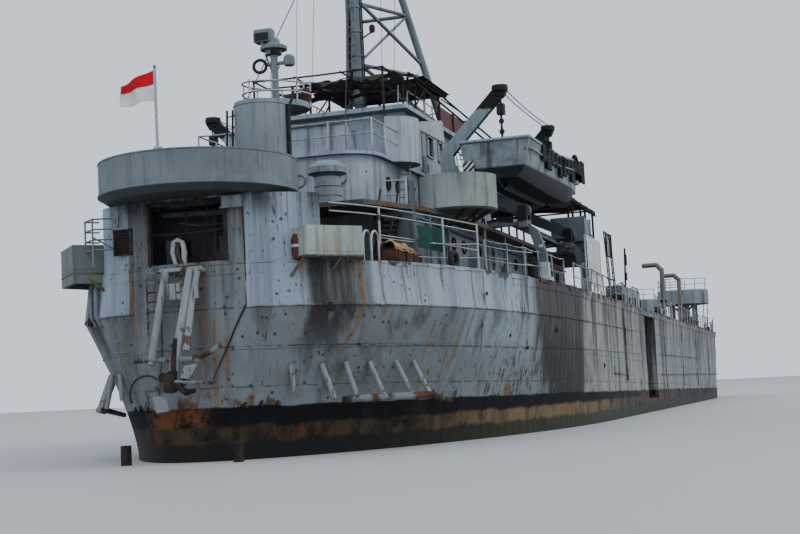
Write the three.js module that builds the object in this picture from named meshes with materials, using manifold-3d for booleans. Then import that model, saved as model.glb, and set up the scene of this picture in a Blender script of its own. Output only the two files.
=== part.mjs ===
// Tank landing ship, 1:10 scale model, as a three.js scene graph.
// Model units are millimetres. X runs to the bow, Y to port and Z up; the base line is Z = 0.
// Positions are written as the real ship's metres: s forward from the after end of the
// stern tub, y to port of the centreline, z above the base line.

import * as THREE from 'three';
import { mergeVertices } from 'three/addons/utils/BufferGeometryUtils.js';
import Module from 'manifold-3d';

const wasm = await Module();
wasm.setup();

// Driving dimensions of the real ship, metres
const MM = 100;                 // millimetres of the model for a real metre
const LENGTH = 100;             // over all
const HALF_BEAM = 7.62;
const DECK = 7.67;              // top of the main deck
const DECK_PLATE = 0.3;
const GAP = 0.003;              // between faces that touch
const CLEAR = 0.06;             // around what moves

const group = new THREE.Group();

// Colours of the bare and painted metal, from the photograph
const PAINT = {
  hull: [0x8f9da3, 0.75, 0.1],
  boot: [0x2b2826, 0.85, 0.1],
  deck: [0x5d5f5c, 0.9, 0.1],
  house: [0xa3b0b3, 0.7, 0.1],
  mast: [0x8fa0a8, 0.7, 0.2],
  green: [0x6f7a6d, 0.75, 0.1],
  dark: [0x2a2c2d, 0.8, 0.2],
  rust: [0x5b3d2a, 0.9, 0.2],
  bronze: [0x6e5a35, 0.45, 0.8],
  cloth: [0x2c2a27, 0.95, 0],
  flag: [0xb6252a, 0.85, 0],
};

// Basic shapes

const at = (s, y, z) => new THREE.Vector3((s - LENGTH / 2) * MM, y * MM, z * MM);

function box([s0, s1], [y0, y1], [z0, z1]) {
  const shape = new THREE.BoxGeometry((s1 - s0) * MM, (y1 - y0) * MM, (z1 - z0) * MM);
  const middle = at((s0 + s1) / 2, (y0 + y1) / 2, (z0 + z1) / 2);
  return shape.translate(middle.x, middle.y, middle.z);
}

// A plan outline of [s, y] points, raised from z0 to z1
function prism(outline, z0, z1) {
  const shape = new THREE.Shape(outline.map(([s, y]) => new THREE.Vector2((s - LENGTH / 2) * MM, y * MM)));
  const solid = new THREE.ExtrudeGeometry(shape, { depth: (z1 - z0) * MM, bevelEnabled: false });
  return solid.translate(0, 0, z0 * MM);
}

// A profile of [s, z] points in the ship's side view, from y0 to y1
function sidePlate(outline, y0, y1) {
  const shape = new THREE.Shape(outline.map(([s, z]) => new THREE.Vector2((s - LENGTH / 2) * MM, z * MM)));
  const solid = new THREE.ExtrudeGeometry(shape, { depth: (y1 - y0) * MM, bevelEnabled: false });
  return solid.rotateX(Math.PI / 2).translate(0, y1 * MM, 0);
}

// A profile of [y, z] points seen along the ship, from s0 to s1
function crossPlate(outline, s0, s1) {
  const shape = new THREE.Shape(outline.map(([y, z]) => new THREE.Vector2(y * MM, z * MM)));
  const solid = new THREE.ExtrudeGeometry(shape, { depth: (s1 - s0) * MM, bevelEnabled: false });
  return solid.rotateX(Math.PI / 2).rotateZ(Math.PI / 2).translate((s0 - LENGTH / 2) * MM, 0, 0);
}

// A round bar between two points given as [s, y, z]
function bar(from, to, radius, sides = 8) {
  const a = at(...from);
  const b = at(...to);
  const length = a.distanceTo(b);
  const solid = new THREE.CylinderGeometry(radius * MM, radius * MM, length, sides);
  const turn = new THREE.Quaternion().setFromUnitVectors(
    new THREE.Vector3(0, 1, 0), b.clone().sub(a).normalize());
  solid.applyQuaternion(turn);
  const middle = a.add(b).multiplyScalar(0.5);
  return solid.translate(middle.x, middle.y, middle.z);
}

// A turned shape about the vertical through (s, y), from [radius, z] points
function turned(profile, s, y, sides) {
  const points = profile.map(([r, z]) => new THREE.Vector2(r * MM, z * MM));
  const solid = new THREE.LatheGeometry(points, sides).rotateX(Math.PI / 2);
  const foot = at(s, y, 0);
  return solid.translate(foot.x, foot.y, 0);
}

const disc = (s, y, r, z0, z1, sides = 24) => turned([[0, z0], [r, z0], [r, z1], [0, z1]], s, y, sides);

// A solid through a stack of closed loops of Vector3, all with the same number of points
function loft(loops) {
  const count = loops[0].length;
  const places = loops.flat().flatMap((p) => [p.x, p.y, p.z]);
  const faces = [];
  for (let level = 0; level + 1 < loops.length; level += 1) {
    for (let i = 0; i < count; i += 1) {
      const a = level * count + i;
      const b = level * count + ((i + 1) % count);
      faces.push(a, b, b + count, a, b + count, a + count);
    }
  }
  const flat = loops[0].map((p) => new THREE.Vector2(p.x, p.y));
  const last = (loops.length - 1) * count;
  for (const [a, b, c] of THREE.ShapeUtils.triangulateShape(flat, [])) {
    faces.push(a, c, b);
  }
  const flatTop = loops[loops.length - 1].map((p) => new THREE.Vector2(p.x, p.y));
  for (const [a, b, c] of THREE.ShapeUtils.triangulateShape(flatTop, [])) {
    faces.push(last + a, last + b, last + c);
  }
  const solid = new THREE.BufferGeometry();
  solid.setAttribute('position', new THREE.Float32BufferAttribute(places, 3));
  solid.setIndex(faces);
  return solid;
}

// Joining and cutting

function toManifold(geometry) {
  const bare = geometry.clone();
  bare.deleteAttribute('normal');
  bare.deleteAttribute('uv');
  const welded = mergeVertices(bare, 1e-3);
  return new wasm.Manifold(new wasm.Mesh({
    numProp: 3,
    vertProperties: Float32Array.from(welded.attributes.position.array),
    triVerts: Uint32Array.from(welded.index.array),
  }));
}

function fromManifold(solid) {
  const mesh = solid.getMesh();
  const geometry = new THREE.BufferGeometry();
  geometry.setAttribute('position', new THREE.BufferAttribute(Float32Array.from(mesh.vertProperties), 3));
  geometry.setIndex(new THREE.BufferAttribute(Uint32Array.from(mesh.triVerts), 1));
  return geometry;
}

const join = (...shapes) => fromManifold(shapes.map(toManifold).reduce((all, next) => all.add(next)));

function cut(shape, ...tools) {
  return fromManifold(tools.map(toManifold).reduce((left, tool) => left.subtract(tool), toManifold(shape)));
}

function mirrored(shape) {
  const other = shape.index ? shape.clone() : mergeVertices(shape);
  other.scale(1, -1, 1);
  const order = Array.from(other.index.array);
  for (let i = 0; i < order.length; i += 3) {
    [order[i + 1], order[i + 2]] = [order[i + 2], order[i + 1]];
  }
  other.setIndex(order);
  return other;
}

function add(name, shape, paint) {
  const [color, roughness, metalness] = PAINT[paint];
  shape.computeVertexNormals();
  const mesh = new THREE.Mesh(shape, new THREE.MeshStandardMaterial({ color, roughness, metalness }));
  mesh.name = name;
  group.add(mesh);
}

// The starboard piece is drawn; the port one mirrors it
function addPair(name, shape, paint) {
  add(`${name}_starboard`, shape, paint);
  add(`${name}_port`, mirrored(shape), paint);
}

// Form of the hull

const STERN = {
  curveStart: 26.4, wall: 1.45, deckPower: 2.63, waterPower: 1.8, knuckle: 6.4, knucklePower: 2.75,
  flare: 1.7,
};
const BOW = { curveStart: 83, deckPowers: [2.4, 1.9], waterPowers: [1.7, 1.3] };
const FLOOR = 2.1;              // tank deck, on top of the solid bottom
const SIDE_TOP = DECK - DECK_PLATE;
const FACET = 1.66;             // half the flat middle of the stern

const mix = (a, b, t) => a + (b - a) * Math.min(1, Math.max(0, t));

function sternPower(z) {
  if (z >= STERN.knuckle) {
    return mix(STERN.knucklePower, STERN.deckPower, (z - STERN.knuckle) / (DECK - STERN.knuckle));
  }
  const up = Math.max(0, (z - FLOOR) / (STERN.knuckle - FLOOR));
  return mix(STERN.waterPower, STERN.knucklePower, up ** STERN.flare);
}

// Half breadth at s and z
function halfBreadth(s, z) {
  if (s < STERN.curveStart) {
    const n = sternPower(z);
    const x = Math.min(1, (STERN.curveStart - s) / (STERN.curveStart - STERN.wall));
    return HALF_BEAM * (1 - x ** n) ** (1 / n);
  }
  if (s > BOW.curveStart) {
    const t = (z - FLOOR) / (DECK - FLOOR);
    const a = mix(BOW.waterPowers[0], BOW.deckPowers[0], t);
    const b = mix(BOW.waterPowers[1], BOW.deckPowers[1], t);
    const x = Math.min(1, (s - BOW.curveStart) / (LENGTH - BOW.curveStart));
    return HALF_BEAM * (1 - x ** a) ** (1 / b);
  }
  return HALF_BEAM;
}

// Station of the stern's curve at half breadth y and z
function sternStation(y, z) {
  const n = sternPower(z);
  return STERN.curveStart - (STERN.curveStart - STERN.wall) * (1 - (y / HALF_BEAM) ** n) ** (1 / n);
}

// Plan of the stern forward to station `front`, port side then starboard
const STERN_STEPS = [0, 0.16, 0.32, 0.48, 0.64, 0.8, 0.92];

function sternLoop(z, front, inset = 0) {
  const facet = mix(0.25, FACET, (z - FLOOR) / (STERN.knuckle - FLOOR));
  const side = halfBreadth(front, z);
  const port = STERN_STEPS.map((t) => {
    const y = mix(facet, side, t);
    return [sternStation(y, z) + inset, y - inset];
  });
  port.push([front, side - inset]);
  return [...port.map(([s, y]) => [s, y]).reverse(), ...port.map(([s, y]) => [s, -y])];
}

// Hull: solid bottom, stern, two sides around the open tank deck, main deck and bow

const TANK = { aft: 14, forward: 88, halfWidth: 4.6, mouth: 2.35, mouthStart: 92.5 };
const BOW_END = 94.9;           // bow blocks end here and the doors begin
const BOTTOM_LEVELS = [         // z, after end, forward end, breadth taken off each side
  [0, 19.5, 88, 0.45],
  [0.45, 17.2, 90, 0.06],
  [1.2, 13.2, 92.4, 0],
  [FLOOR - GAP, 8.5, 94.3, 0],
];
const SIDE_STEPS = [0, 0.04, 0.08, 0.12, 0.16, 0.85, 0.89, 0.93, 0.97, 1];

function bottomLoop([z, aft, fore, inset]) {
  const port = SIDE_STEPS.map((t) => {
    const s = mix(aft, fore, t);
    return [s, halfBreadth(s, Math.max(z, FLOOR)) - inset];
  });
  const outline = [...port.reverse(), ...port.slice().reverse().map(([s, y]) => [s, -y])];
  return outline.map(([s, y]) => at(s, y, z));
}

add('hull_bottom', loft(BOTTOM_LEVELS.map(bottomLoop)), 'boot');

const STERN_LEVELS = [FLOOR, 3.5, 4.95, STERN.knuckle, SIDE_TOP - GAP];
add('hull_stern', loft(STERN_LEVELS.map((z) => (
  sternLoop(z, TANK.aft).map(([s, y]) => at(s, y, z))))), 'hull');

// A side is one lofted wall with its inner face straight; a shallow recess is cut in it
const RECESS = { aft: 40.6, forward: 44.8, depth: 0.55, low: 2.9 };
const SIDE_STATIONS = [
  TANK.aft + GAP, 17, 20, 23, STERN.curveStart, BOW.curveStart, 85.5, TANK.forward - GAP,
];

function sideLoop(z) {
  const outer = SIDE_STATIONS.map((s) => [s, -halfBreadth(s, z)]);
  const inner = [[TANK.forward - GAP, -TANK.halfWidth], [TANK.aft + GAP, -TANK.halfWidth]];
  return [...outer, ...inner].map(([s, y]) => at(s, y, z));
}

const hullSide = cut(
  loft([FLOOR, 3.5, 4.95, STERN.knuckle, SIDE_TOP - GAP].map(sideLoop)),
  box([RECESS.aft, RECESS.forward], [-HALF_BEAM - 1, -HALF_BEAM + RECESS.depth], [RECESS.low, DECK + 1]),
);
addPair('hull_side', hullSide, 'hull');

function bowBlockLoop(z) {
  const outer = [TANK.forward, 90, 92.4, BOW_END].map((s) => [s, -halfBreadth(s, z)]);
  const inner = [[BOW_END, -TANK.mouth], [TANK.mouthStart, -TANK.mouth], [TANK.forward, -TANK.halfWidth]];
  return [...outer, ...inner].map(([s, y]) => at(s, y, z));
}

// Arms of the bow doors' hinges: the hull's lie just under the doors' own
const HINGE = { s: 95, y: -5.75, levels: [2.9, 4.8, 6.8], thick: 0.1 };

function hingeArm(z, s0, s1, root) {
  return box([s0, s1], [HINGE.y - 0.1, root], [z, z + HINGE.thick]);
}

const hullArms = HINGE.levels.flatMap((z) => [
  hingeArm(z, 94.6, 94.95, -halfBreadth(94.8, z) + 0.2),
  hingeArm(z, 94.6, HINGE.s + 0.05, -halfBreadth(HINGE.s, z) - 0.07),
]);
const bowBlock = join(loft([FLOOR, 3.5, 4.95, STERN.knuckle, SIDE_TOP - GAP].map(bowBlockLoop)), ...hullArms);
const bowSill = box([TANK.mouthStart, 94.3], [-TANK.mouth - 0.1, TANK.mouth + 0.1], [FLOOR, FLOOR + 0.2]);
add('hull_bow', join(bowBlock, mirrored(bowBlock), bowSill), 'hull');

// Main deck plate with the cargo hatch cut in it
const HATCH = { aft: 56, forward: 63, halfWidth: 2.6, coaming: 0.55, wall: 0.14 };
const DECK_STATIONS = [14, 17, 20, 23, STERN.curveStart, BOW.curveStart, 86, 89, 92, 95, 97, 98.6, 99.6];

function deckOutline() {
  const z = DECK;
  const aft = sternLoop(z, DECK_STATIONS[0]);
  const half = aft.slice(aft.length / 2);
  const side = DECK_STATIONS.slice(1).map((s) => [s, -halfBreadth(s, z)]);
  const starboard = [...half, ...side, [LENGTH, -0.35]];
  return [...starboard, ...starboard.slice().reverse().map(([s, y]) => [s, -y])];
}

const hatchHole = box([HATCH.aft, HATCH.forward], [-HATCH.halfWidth, HATCH.halfWidth], [DECK - 1, DECK + 1]);
const coaming = box([HATCH.aft - HATCH.wall, HATCH.forward + HATCH.wall],
  [-HATCH.halfWidth - HATCH.wall, HATCH.halfWidth + HATCH.wall], [DECK - 0.1, DECK + HATCH.coaming]);
add('main_deck', cut(join(prism(deckOutline(), SIDE_TOP, DECK), coaming), hatchHole), 'deck');

const COVER = { thick: 0.16, z: DECK + HATCH.coaming + GAP };
add('hatch_cover', join(
  box([HATCH.aft - 0.3, HATCH.forward + 0.3], [-HATCH.halfWidth - 0.3, HATCH.halfWidth + 0.3],
    [COVER.z, COVER.z + COVER.thick]),
  box([HATCH.aft - 0.2, HATCH.forward + 0.2], [-0.12, 0.12],
    [COVER.z + 0.1, COVER.z + 0.3]),
), 'rust');

// Bow doors and ramp

const DOOR = { wall: 0.28, low: 2.25, high: SIDE_TOP - 0.12, start: 95.02 };
const DOOR_STATIONS = [DOOR.start, 96.2, 97.3, 98.3, 99.1, 99.7, 99.93];

function doorLoop(z) {
  const rake = mix(0.985, 1, (z - DOOR.low) / 3);
  const outer = DOOR_STATIONS.map((s) => [DOOR.start + (s - DOOR.start) * rake, -halfBreadth(s, z)]);
  outer.push([DOOR.start + (LENGTH - 0.02 - DOOR.start) * rake, -CLEAR]);
  const inner = outer.slice(0, -1).map(([s, y]) => {
    const shrink = (s - DOOR.start) / (LENGTH - DOOR.start);
    return [Math.max(DOOR.start, s - DOOR.wall * shrink), Math.min(-CLEAR, y + DOOR.wall * 1.4)];
  }).reverse();
  inner[0] = [DOOR.start + (99.6 - DOOR.start) * rake, -CLEAR];
  return [...outer, ...inner].map(([s, y]) => at(s, y, z));
}

const doorArms = HINGE.levels.flatMap((z) => {
  const rise = z + HINGE.thick + GAP;
  return [
    hingeArm(rise, DOOR.start + 0.02, 95.5, -halfBreadth(95.3, rise) + 0.15),
    hingeArm(rise, HINGE.s - 0.08, 95.5, -halfBreadth(HINGE.s, rise) - 0.12),
  ];
});
addPair('bow_door', join(loft([DOOR.low, 3.6, 5.2, DOOR.high].map(doorLoop)), ...doorArms), 'hull');

const RAMP = { s: 94.62, low: 2.45, high: 7.1, halfWidth: 2.13, thick: 0.24 };
const rampRibs = [-1.6, -0.55, 0.55, 1.6].map((y) => (
  box([RAMP.s - 0.2, RAMP.s], [y - 0.06, y + 0.06], [RAMP.low + 0.2, RAMP.high - 0.2])));
add('bow_ramp', join(
  box([RAMP.s - RAMP.thick / 2, RAMP.s + RAMP.thick / 2], [-RAMP.halfWidth, RAMP.halfWidth],
    [RAMP.low, RAMP.high]),
  ...rampRibs,
  bar([RAMP.s, GAP - TANK.mouth, RAMP.low], [RAMP.s, TANK.mouth - GAP, RAMP.low], RAMP.thick / 2, 12),
), 'rust');

// Running gear under the stern

const GEAR = { y: 1.7, shaftZ: 1.08, propeller: 4.45, skegEnd: 4.95, blade: 0.94, rudderStock: 2.6 };

const skeg = sidePlate([
  [GEAR.skegEnd, 0.75], [GEAR.skegEnd, 1.42], [GEAR.skegEnd + 0.9, FLOOR - 2 * GAP], [8.48, FLOOR - 2 * GAP],
  [13.16, 1.19], [17.1, 0.43], [17.1, 0.2], [6.2, 0.2],
], -GEAR.y - 0.16, -GEAR.y + 0.16);
const bossTube = bar([GEAR.skegEnd - 0.1, -GEAR.y, GEAR.shaftZ], [7.4, -GEAR.y, GEAR.shaftZ], 0.3, 12);
addPair('skeg', join(skeg, bossTube), 'rust');

function propellerBlade(turn) {
  const root = 0.2;
  const outline = new THREE.Shape();
  outline.moveTo(-0.14 * MM, root * MM);
  outline.quadraticCurveTo(-0.62 * MM, 0.72 * MM, 0, GEAR.blade * MM);
  outline.quadraticCurveTo(0.62 * MM, 0.72 * MM, 0.14 * MM, root * MM);
  const blade = new THREE.ExtrudeGeometry(outline,
    { depth: 0.07 * MM, bevelEnabled: false, curveSegments: 5 });
  blade.translate(0, 0, -0.035 * MM);
  blade.rotateY(THREE.MathUtils.degToRad(26));
  blade.rotateY(Math.PI / 2);
  blade.rotateX(turn);
  const centre = at(GEAR.propeller, -GEAR.y, GEAR.shaftZ);
  return blade.translate(centre.x, centre.y, centre.z);
}

const hub = bar([GEAR.propeller - 0.3, -GEAR.y, GEAR.shaftZ],
  [GEAR.skegEnd - 0.1 - GAP, -GEAR.y, GEAR.shaftZ], 0.24, 12);
const blades = [0, 1, 2].map((i) => propellerBlade((i * Math.PI * 2) / 3));
addPair('propeller', join(hub, ...blades), 'bronze');

const rudderBlade = prism([
  [0.95, -GEAR.y - 0.03], [2.2, -GEAR.y - 0.16], [3.1, -GEAR.y - 0.1], [3.25, -GEAR.y],
  [3.1, -GEAR.y + 0.1], [2.2, -GEAR.y + 0.16], [0.95, -GEAR.y + 0.03],
], 0.25, 1.95);
const rudderStock = bar([GEAR.rudderStock, -GEAR.y, 1.9], [GEAR.rudderStock, -GEAR.y, FLOOR - GAP], 0.12, 10);
const rudderHorn = box([0.86, 1.12], [-GEAR.y - 0.1, -GEAR.y + 0.1], [1.3, 2.72]);
addPair('rudder', join(rudderBlade, rudderStock, rudderHorn), 'dark');

// Guards over the propellers: a bar along the quarter on diagonal struts
const GUARD = {
  z: 3.72, foot: 4.74, radius: 0.1, reach: 0.55,
  struts: [[3.98, 0.121], [4.78, 0.106], [5.79, 0.108], [6.54, 0.106]],  // s, off the plating
};
const GUARD_BAR = [[3.6, 3.7], [3.98, 3.72], [4.78, 3.72], [5.79, 3.72], [6.54, 3.72], [8.2, 3.5]];  // s, z

const guardPoint = ([s, z]) => [s, -halfBreadth(s, z) - GUARD.reach, z];
const guardBars = GUARD_BAR.slice(1).map((end, i) => (
  bar(guardPoint(GUARD_BAR[i]), guardPoint(end), GUARD.radius + 0.03)));
const guardStruts = GUARD.struts.map(([s, off]) => {
  const foot = [s, -halfBreadth(s, GUARD.foot) - off, GUARD.foot];
  return bar(foot, guardPoint([s, GUARD.z]), GUARD.radius);
});
addPair('propeller_guard', join(...guardBars, ...guardStruts), 'house');

// Stern house under the gun tub, open aft, with the winch in it

const TUB = { s: 2.8, r: 2.8, floor: 9.6, top: 10.75, wall: 0.12, plate: 0.14 };
const HOUSE_WALL = 0.15;
const STERN_HOUSE_FRONT = 5.2;
const houseOuter = (z) => sternLoop(z, 14).filter(([s]) => s < STERN_HOUSE_FRONT);

function sternHouseOutline(inset) {
  const loop = houseOuter(DECK).map(([s, y]) => [s + inset, y - Math.sign(y) * inset * 1.3]);
  const edge = halfBreadth(2.9, DECK) - inset * 1.5 - 0.05;
  const port = loop.filter(([s, y]) => y > 0 && s < 2.8);
  const starboard = loop.filter(([s, y]) => y < 0 && s < 2.8);
  const front = STERN_HOUSE_FRONT - inset;
  return [[front, 2.3 - inset], [2.9, edge], ...port, ...starboard, [2.9, -edge], [front, -2.3 + inset]];
}

const sternHouse = cut(
  prism(sternHouseOutline(GAP), DECK + GAP, TUB.floor - GAP),
  prism(sternHouseOutline(HOUSE_WALL), DECK - 0.1, TUB.floor - 0.15),
  box([0, 2.2], [-1.24, 1.1], [DECK + 0.06, 9.45]),
);
add('stern_house', sternHouse, 'house');

const winchCheeks = [-0.75, 0.75].map((y) => box([2.9, 3.9], [y - 0.08, y + 0.08], [DECK + GAP, 8.6]));
const winchBed = box([2.8, 4.0], [-0.95, 0.95], [DECK + GAP, DECK + 0.2]);
add('stern_winch', join(
  winchBed,
  ...winchCheeks,
  bar([3.4, -0.9, 8.3], [3.4, 0.9, 8.3], 0.3, 14),
  bar([3.4, -0.62, 8.3], [3.4, -0.5, 8.3], 0.48, 14),
  bar([3.4, 0.5, 8.3], [3.4, 0.62, 8.3], 0.48, 14),
), 'dark');

const tub = turned([[0, TUB.floor], [TUB.r - 0.25, TUB.floor], [TUB.r, TUB.floor + 0.2], [TUB.r, TUB.top],
  [TUB.r - TUB.wall, TUB.top], [TUB.r - TUB.wall, TUB.floor + TUB.plate],
  [0, TUB.floor + TUB.plate]], TUB.s, 0, 40);
add('aft_gun_tub', tub, 'house');

// Round signal tower in the tub, with its door forward and a round platform on it
const SCREEN = { s: 3.515, y: -1.7, r: 0.82, wall: 0.08, top: 12.4 };
const SIGNAL_PLATFORM = { s: 4.1, y: -1.95, r: 0.95, thick: 0.1 };
const screenFoot = TUB.floor + TUB.plate + GAP;
const screenShell = disc(SCREEN.s, SCREEN.y, SCREEN.r, screenFoot, SCREEN.top, 28);
const screenInside = disc(SCREEN.s, SCREEN.y, SCREEN.r - SCREEN.wall, screenFoot - 0.2, SCREEN.top + 0.2, 28);
const screenDoor = box([SCREEN.s + 0.3, SCREEN.s + 1.2], [SCREEN.y - 0.4, SCREEN.y + 0.4],
  [screenFoot + 0.1, SCREEN.top - 0.2]);
const screenRoof = disc(SCREEN.s, SCREEN.y, SCREEN.r, SCREEN.top - 0.02, SCREEN.top + 0.08, 28);
const signalDeck = disc(SIGNAL_PLATFORM.s, SIGNAL_PLATFORM.y, SIGNAL_PLATFORM.r,
  SCREEN.top, SCREEN.top + SIGNAL_PLATFORM.thick, 28);
add('aft_screen', join(cut(screenShell, screenInside, screenDoor), screenRoof, signalDeck), 'house');

// Round parts of the signal pole: radius, lowest and highest point
const POLE = { s: 4, y: -1.95, foot: SCREEN.top + SIGNAL_PLATFORM.thick + GAP };
const POLE_RINGS = [
  [0.2, POLE.foot, POLE.foot + 0.08],
  [0.11, POLE.foot, 14.5],
  [0.24, 13.98, 14.14],
  [0.4, 14.12, 14.3],
  [0.2, 14.28, 14.5],
];
const poleParts = [
  ...POLE_RINGS.map(([r, low, high]) => disc(POLE.s, POLE.y, r, low, high, 12)),
  box([POLE.s - 0.2, POLE.s + 0.2], [POLE.y + 0.05, POLE.y + 0.55], [14.45, 14.75]),
  bar([POLE.s, POLE.y - 0.55, 13.75], [POLE.s, POLE.y + 0.2, 13.75], 0.07),
  disc(POLE.s, POLE.y - 0.45, 0.17, 13.6, 13.95, 10),
];
add('signal_pole', join(...poleParts), 'mast');

// Small platforms on both quarters
const platformOutline = [[2.35, -2.9], [1.66, -3.63], [3.0, -4.82], [4.0, -4.48]];
const platformHole = [[2.42, -3.08], [1.84, -3.63], [3.0, -4.62], [3.75, -4.42]];
const PLATFORM = { low: 7.72, floor: 7.84, top: 8.55 };
addPair('quarter_platform', cut(
  prism(platformOutline, PLATFORM.low, PLATFORM.top),
  prism(platformHole, PLATFORM.floor, PLATFORM.top + 1),
  prism(sternLoop(DECK, TANK.aft), DECK - 0.1, PLATFORM.top + 1),
), 'house');

// Stern anchor, the frame that guides it and the ladder

const FRAME = { top: 7.5, wall: sternStation(FACET, DECK) - GAP };
const guideBars = [
  bar([1.2, 0.42, FRAME.top], [0.8, 0.75, 4.9], 0.09),
  bar([1.2, -0.55, FRAME.top], [0.8, -0.95, 4.9], 0.09),
  bar([1.2, 0.52, FRAME.top], [1.2, -0.65, FRAME.top], 0.1),
  bar([0.88, 0.66, 5.5], [0.88, -0.82, 5.5], 0.08),
  bar([1.2, -0.1, FRAME.top], [0.88, -0.1, 5.5], 0.09),
  bar([1.2, 0.42, FRAME.top], [FRAME.wall, 0.42, FRAME.top], 0.08),
  bar([1.2, -0.55, FRAME.top], [FRAME.wall, -0.55, FRAME.top], 0.08),
];
add('anchor_guide', join(...guideBars), 'house');

const ANCHOR = { s: 0.79 - 0.09 - GAP, y: -0.12, head: 4.3 };
const shank = box([ANCHOR.s - 0.09, ANCHOR.s + 0.09], [ANCHOR.y - 0.1, ANCHOR.y + 0.1], [ANCHOR.head, 6.6]);
const stock = bar([ANCHOR.s, ANCHOR.y - 1.05, 4.6], [ANCHOR.s, ANCHOR.y + 1.15, 4.6], 0.07);
const flukes = [-1, 1].map((side) => sidePlate([
  [ANCHOR.s - 0.15, ANCHOR.head - 0.1], [ANCHOR.s + 0.1, ANCHOR.head + 0.2], [ANCHOR.s - 0.12, 5.4],
], ANCHOR.y + side * 0.32 - 0.14, ANCHOR.y + side * 0.32 + 0.14));
const crown = box([ANCHOR.s - 0.16, ANCHOR.s + 0.16], [ANCHOR.y - 0.5, ANCHOR.y + 0.5],
  [ANCHOR.head - 0.15, ANCHOR.head + 0.15]);
add('stern_anchor', join(shank, stock, crown, ...flukes), 'dark');

// Deckhouses, boat deck, bridge and wheelhouse

const BOAT_DECK = 9.8;
const BRIDGE = 12.0;
const ROOF = 14.4;
add('main_deckhouse', box([8.5, 34], [-4.7, 4.7], [DECK + GAP, BOAT_DECK - 0.15 - GAP]), 'house');

const boatDeckSide = [[34.6, -6.4], [27.4, -6.4], [27.4, -5.4], [13.5, -5.4], [9, -4.9], [6.2, -3.8]];
const boatDeckOutline = [...boatDeckSide, ...boatDeckSide.slice().reverse().map(([s, y]) => [s, -y])];
add('boat_deck', prism(boatDeckOutline.reverse(), BOAT_DECK - 0.15, BOAT_DECK), 'deck');

const SIDE_TUB = { s: 11.4, y: -5.45, r: 1.3, floor: BOAT_DECK + GAP, top: 11.0 };
const sideTub = turned([[0, SIDE_TUB.floor], [SIDE_TUB.r, SIDE_TUB.floor], [SIDE_TUB.r, SIDE_TUB.top],
  [SIDE_TUB.r - 0.1, SIDE_TUB.top], [SIDE_TUB.r - 0.1, SIDE_TUB.floor + 0.12], [0, SIDE_TUB.floor + 0.12],
], SIDE_TUB.s, SIDE_TUB.y, 28);
addPair('side_gun_tub', sideTub, 'green');

// Plan of a house with its after corners rounded
function roundedPlan([s0, s1], half, radius) {
  const corner = [0, 1, 2, 3, 4].map((i) => {
    const turn = (i / 4) * (Math.PI / 2);
    return [s0 + radius * (1 - Math.sin(turn)), -half + radius * (1 - Math.cos(turn))];
  });
  const starboard = [[s1, -half], ...corner];
  return [...starboard, ...starboard.slice().reverse().map(([s, y]) => [s, -y])].reverse();
}

const upperPlan = roundedPlan([9.6, 27], 2.8, 1.3);
add('upper_deckhouse', prism(upperPlan, BOAT_DECK + GAP, BRIDGE - 0.12 - GAP), 'house');

// Bridge deck with a round wing on each side and a bulwark around it
const WING = { s: 12.9, y: -2.75, r: 0.95, top: 13.5, wall: 0.09 };
const bridgeSlab = prism(roundedPlan([9.4, 27.4], 3.0, 1.4), BRIDGE - 0.12, BRIDGE);
const aftBulwark = box([9.6, 9.7], [-2.1, 2.1], [BRIDGE - 0.05, BRIDGE + 1.0]);
const wing = (y) => turned([[0, BRIDGE - 0.12], [WING.r, BRIDGE - 0.12], [WING.r, WING.top],
  [WING.r - WING.wall, WING.top], [WING.r - WING.wall, BRIDGE - 0.02], [0, BRIDGE - 0.02]], WING.s, y, 24);
const wingCut = box([10, 16], [WING.y, -WING.y], [BRIDGE + 0.001, WING.top + 1]);
const wings = [wing(WING.y), wing(-WING.y)].map((shape) => cut(shape, wingCut));
add('bridge_deck', join(bridgeSlab, aftBulwark, ...wings), 'house');

const HOUSE = { s: [15.6, 22.4], half: 2.35, wall: 0.12, sill: 13.15, head: 13.95 };
const wheelhouseShell = cut(
  box(HOUSE.s, [-HOUSE.half, HOUSE.half], [BRIDGE + GAP, ROOF]),
  box([HOUSE.s[0] + HOUSE.wall, HOUSE.s[1] - HOUSE.wall], [-HOUSE.half + HOUSE.wall, HOUSE.half - HOUSE.wall],
    [BRIDGE + 0.1, ROOF - HOUSE.wall]),
);
const frontWindows = [-1.7, -0.85, 0, 0.85, 1.7].map((y) => (
  box([HOUSE.s[1] - 0.5, HOUSE.s[1] + 0.5], [y - 0.3, y + 0.3], [HOUSE.sill, HOUSE.head])));
const sideWindows = [17, 18.6, 20.2].map((s) => (
  box([s, s + 0.8], [-HOUSE.half - 0.5, HOUSE.half + 0.5], [HOUSE.sill, HOUSE.head])));
const wheelhouseRoof = box([14.9, 22.9], [-2.7, 2.7], [ROOF - 0.02, ROOF + 0.14]);
add('wheelhouse', join(cut(wheelhouseShell, ...frontWindows, ...sideWindows), wheelhouseRoof), 'house');

// Tripod mast with its platform, topmast and turning aerial
const MAST = { foot: ROOF + 0.14 + GAP, top: 24.5, s: 17.5, leg: 0.225, sideLeg: 0.15 };
const SIDE_LEG = { foot: { s: 22.3, y: 2.16 }, top: { s: 18.3, y: 0.36 } };

function onSideLeg(z, side) {
  const t = (z - MAST.foot) / (MAST.top - MAST.foot);
  return [mix(SIDE_LEG.foot.s, SIDE_LEG.top.s, t), side * mix(SIDE_LEG.foot.y, SIDE_LEG.top.y, t), z];
}

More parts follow.
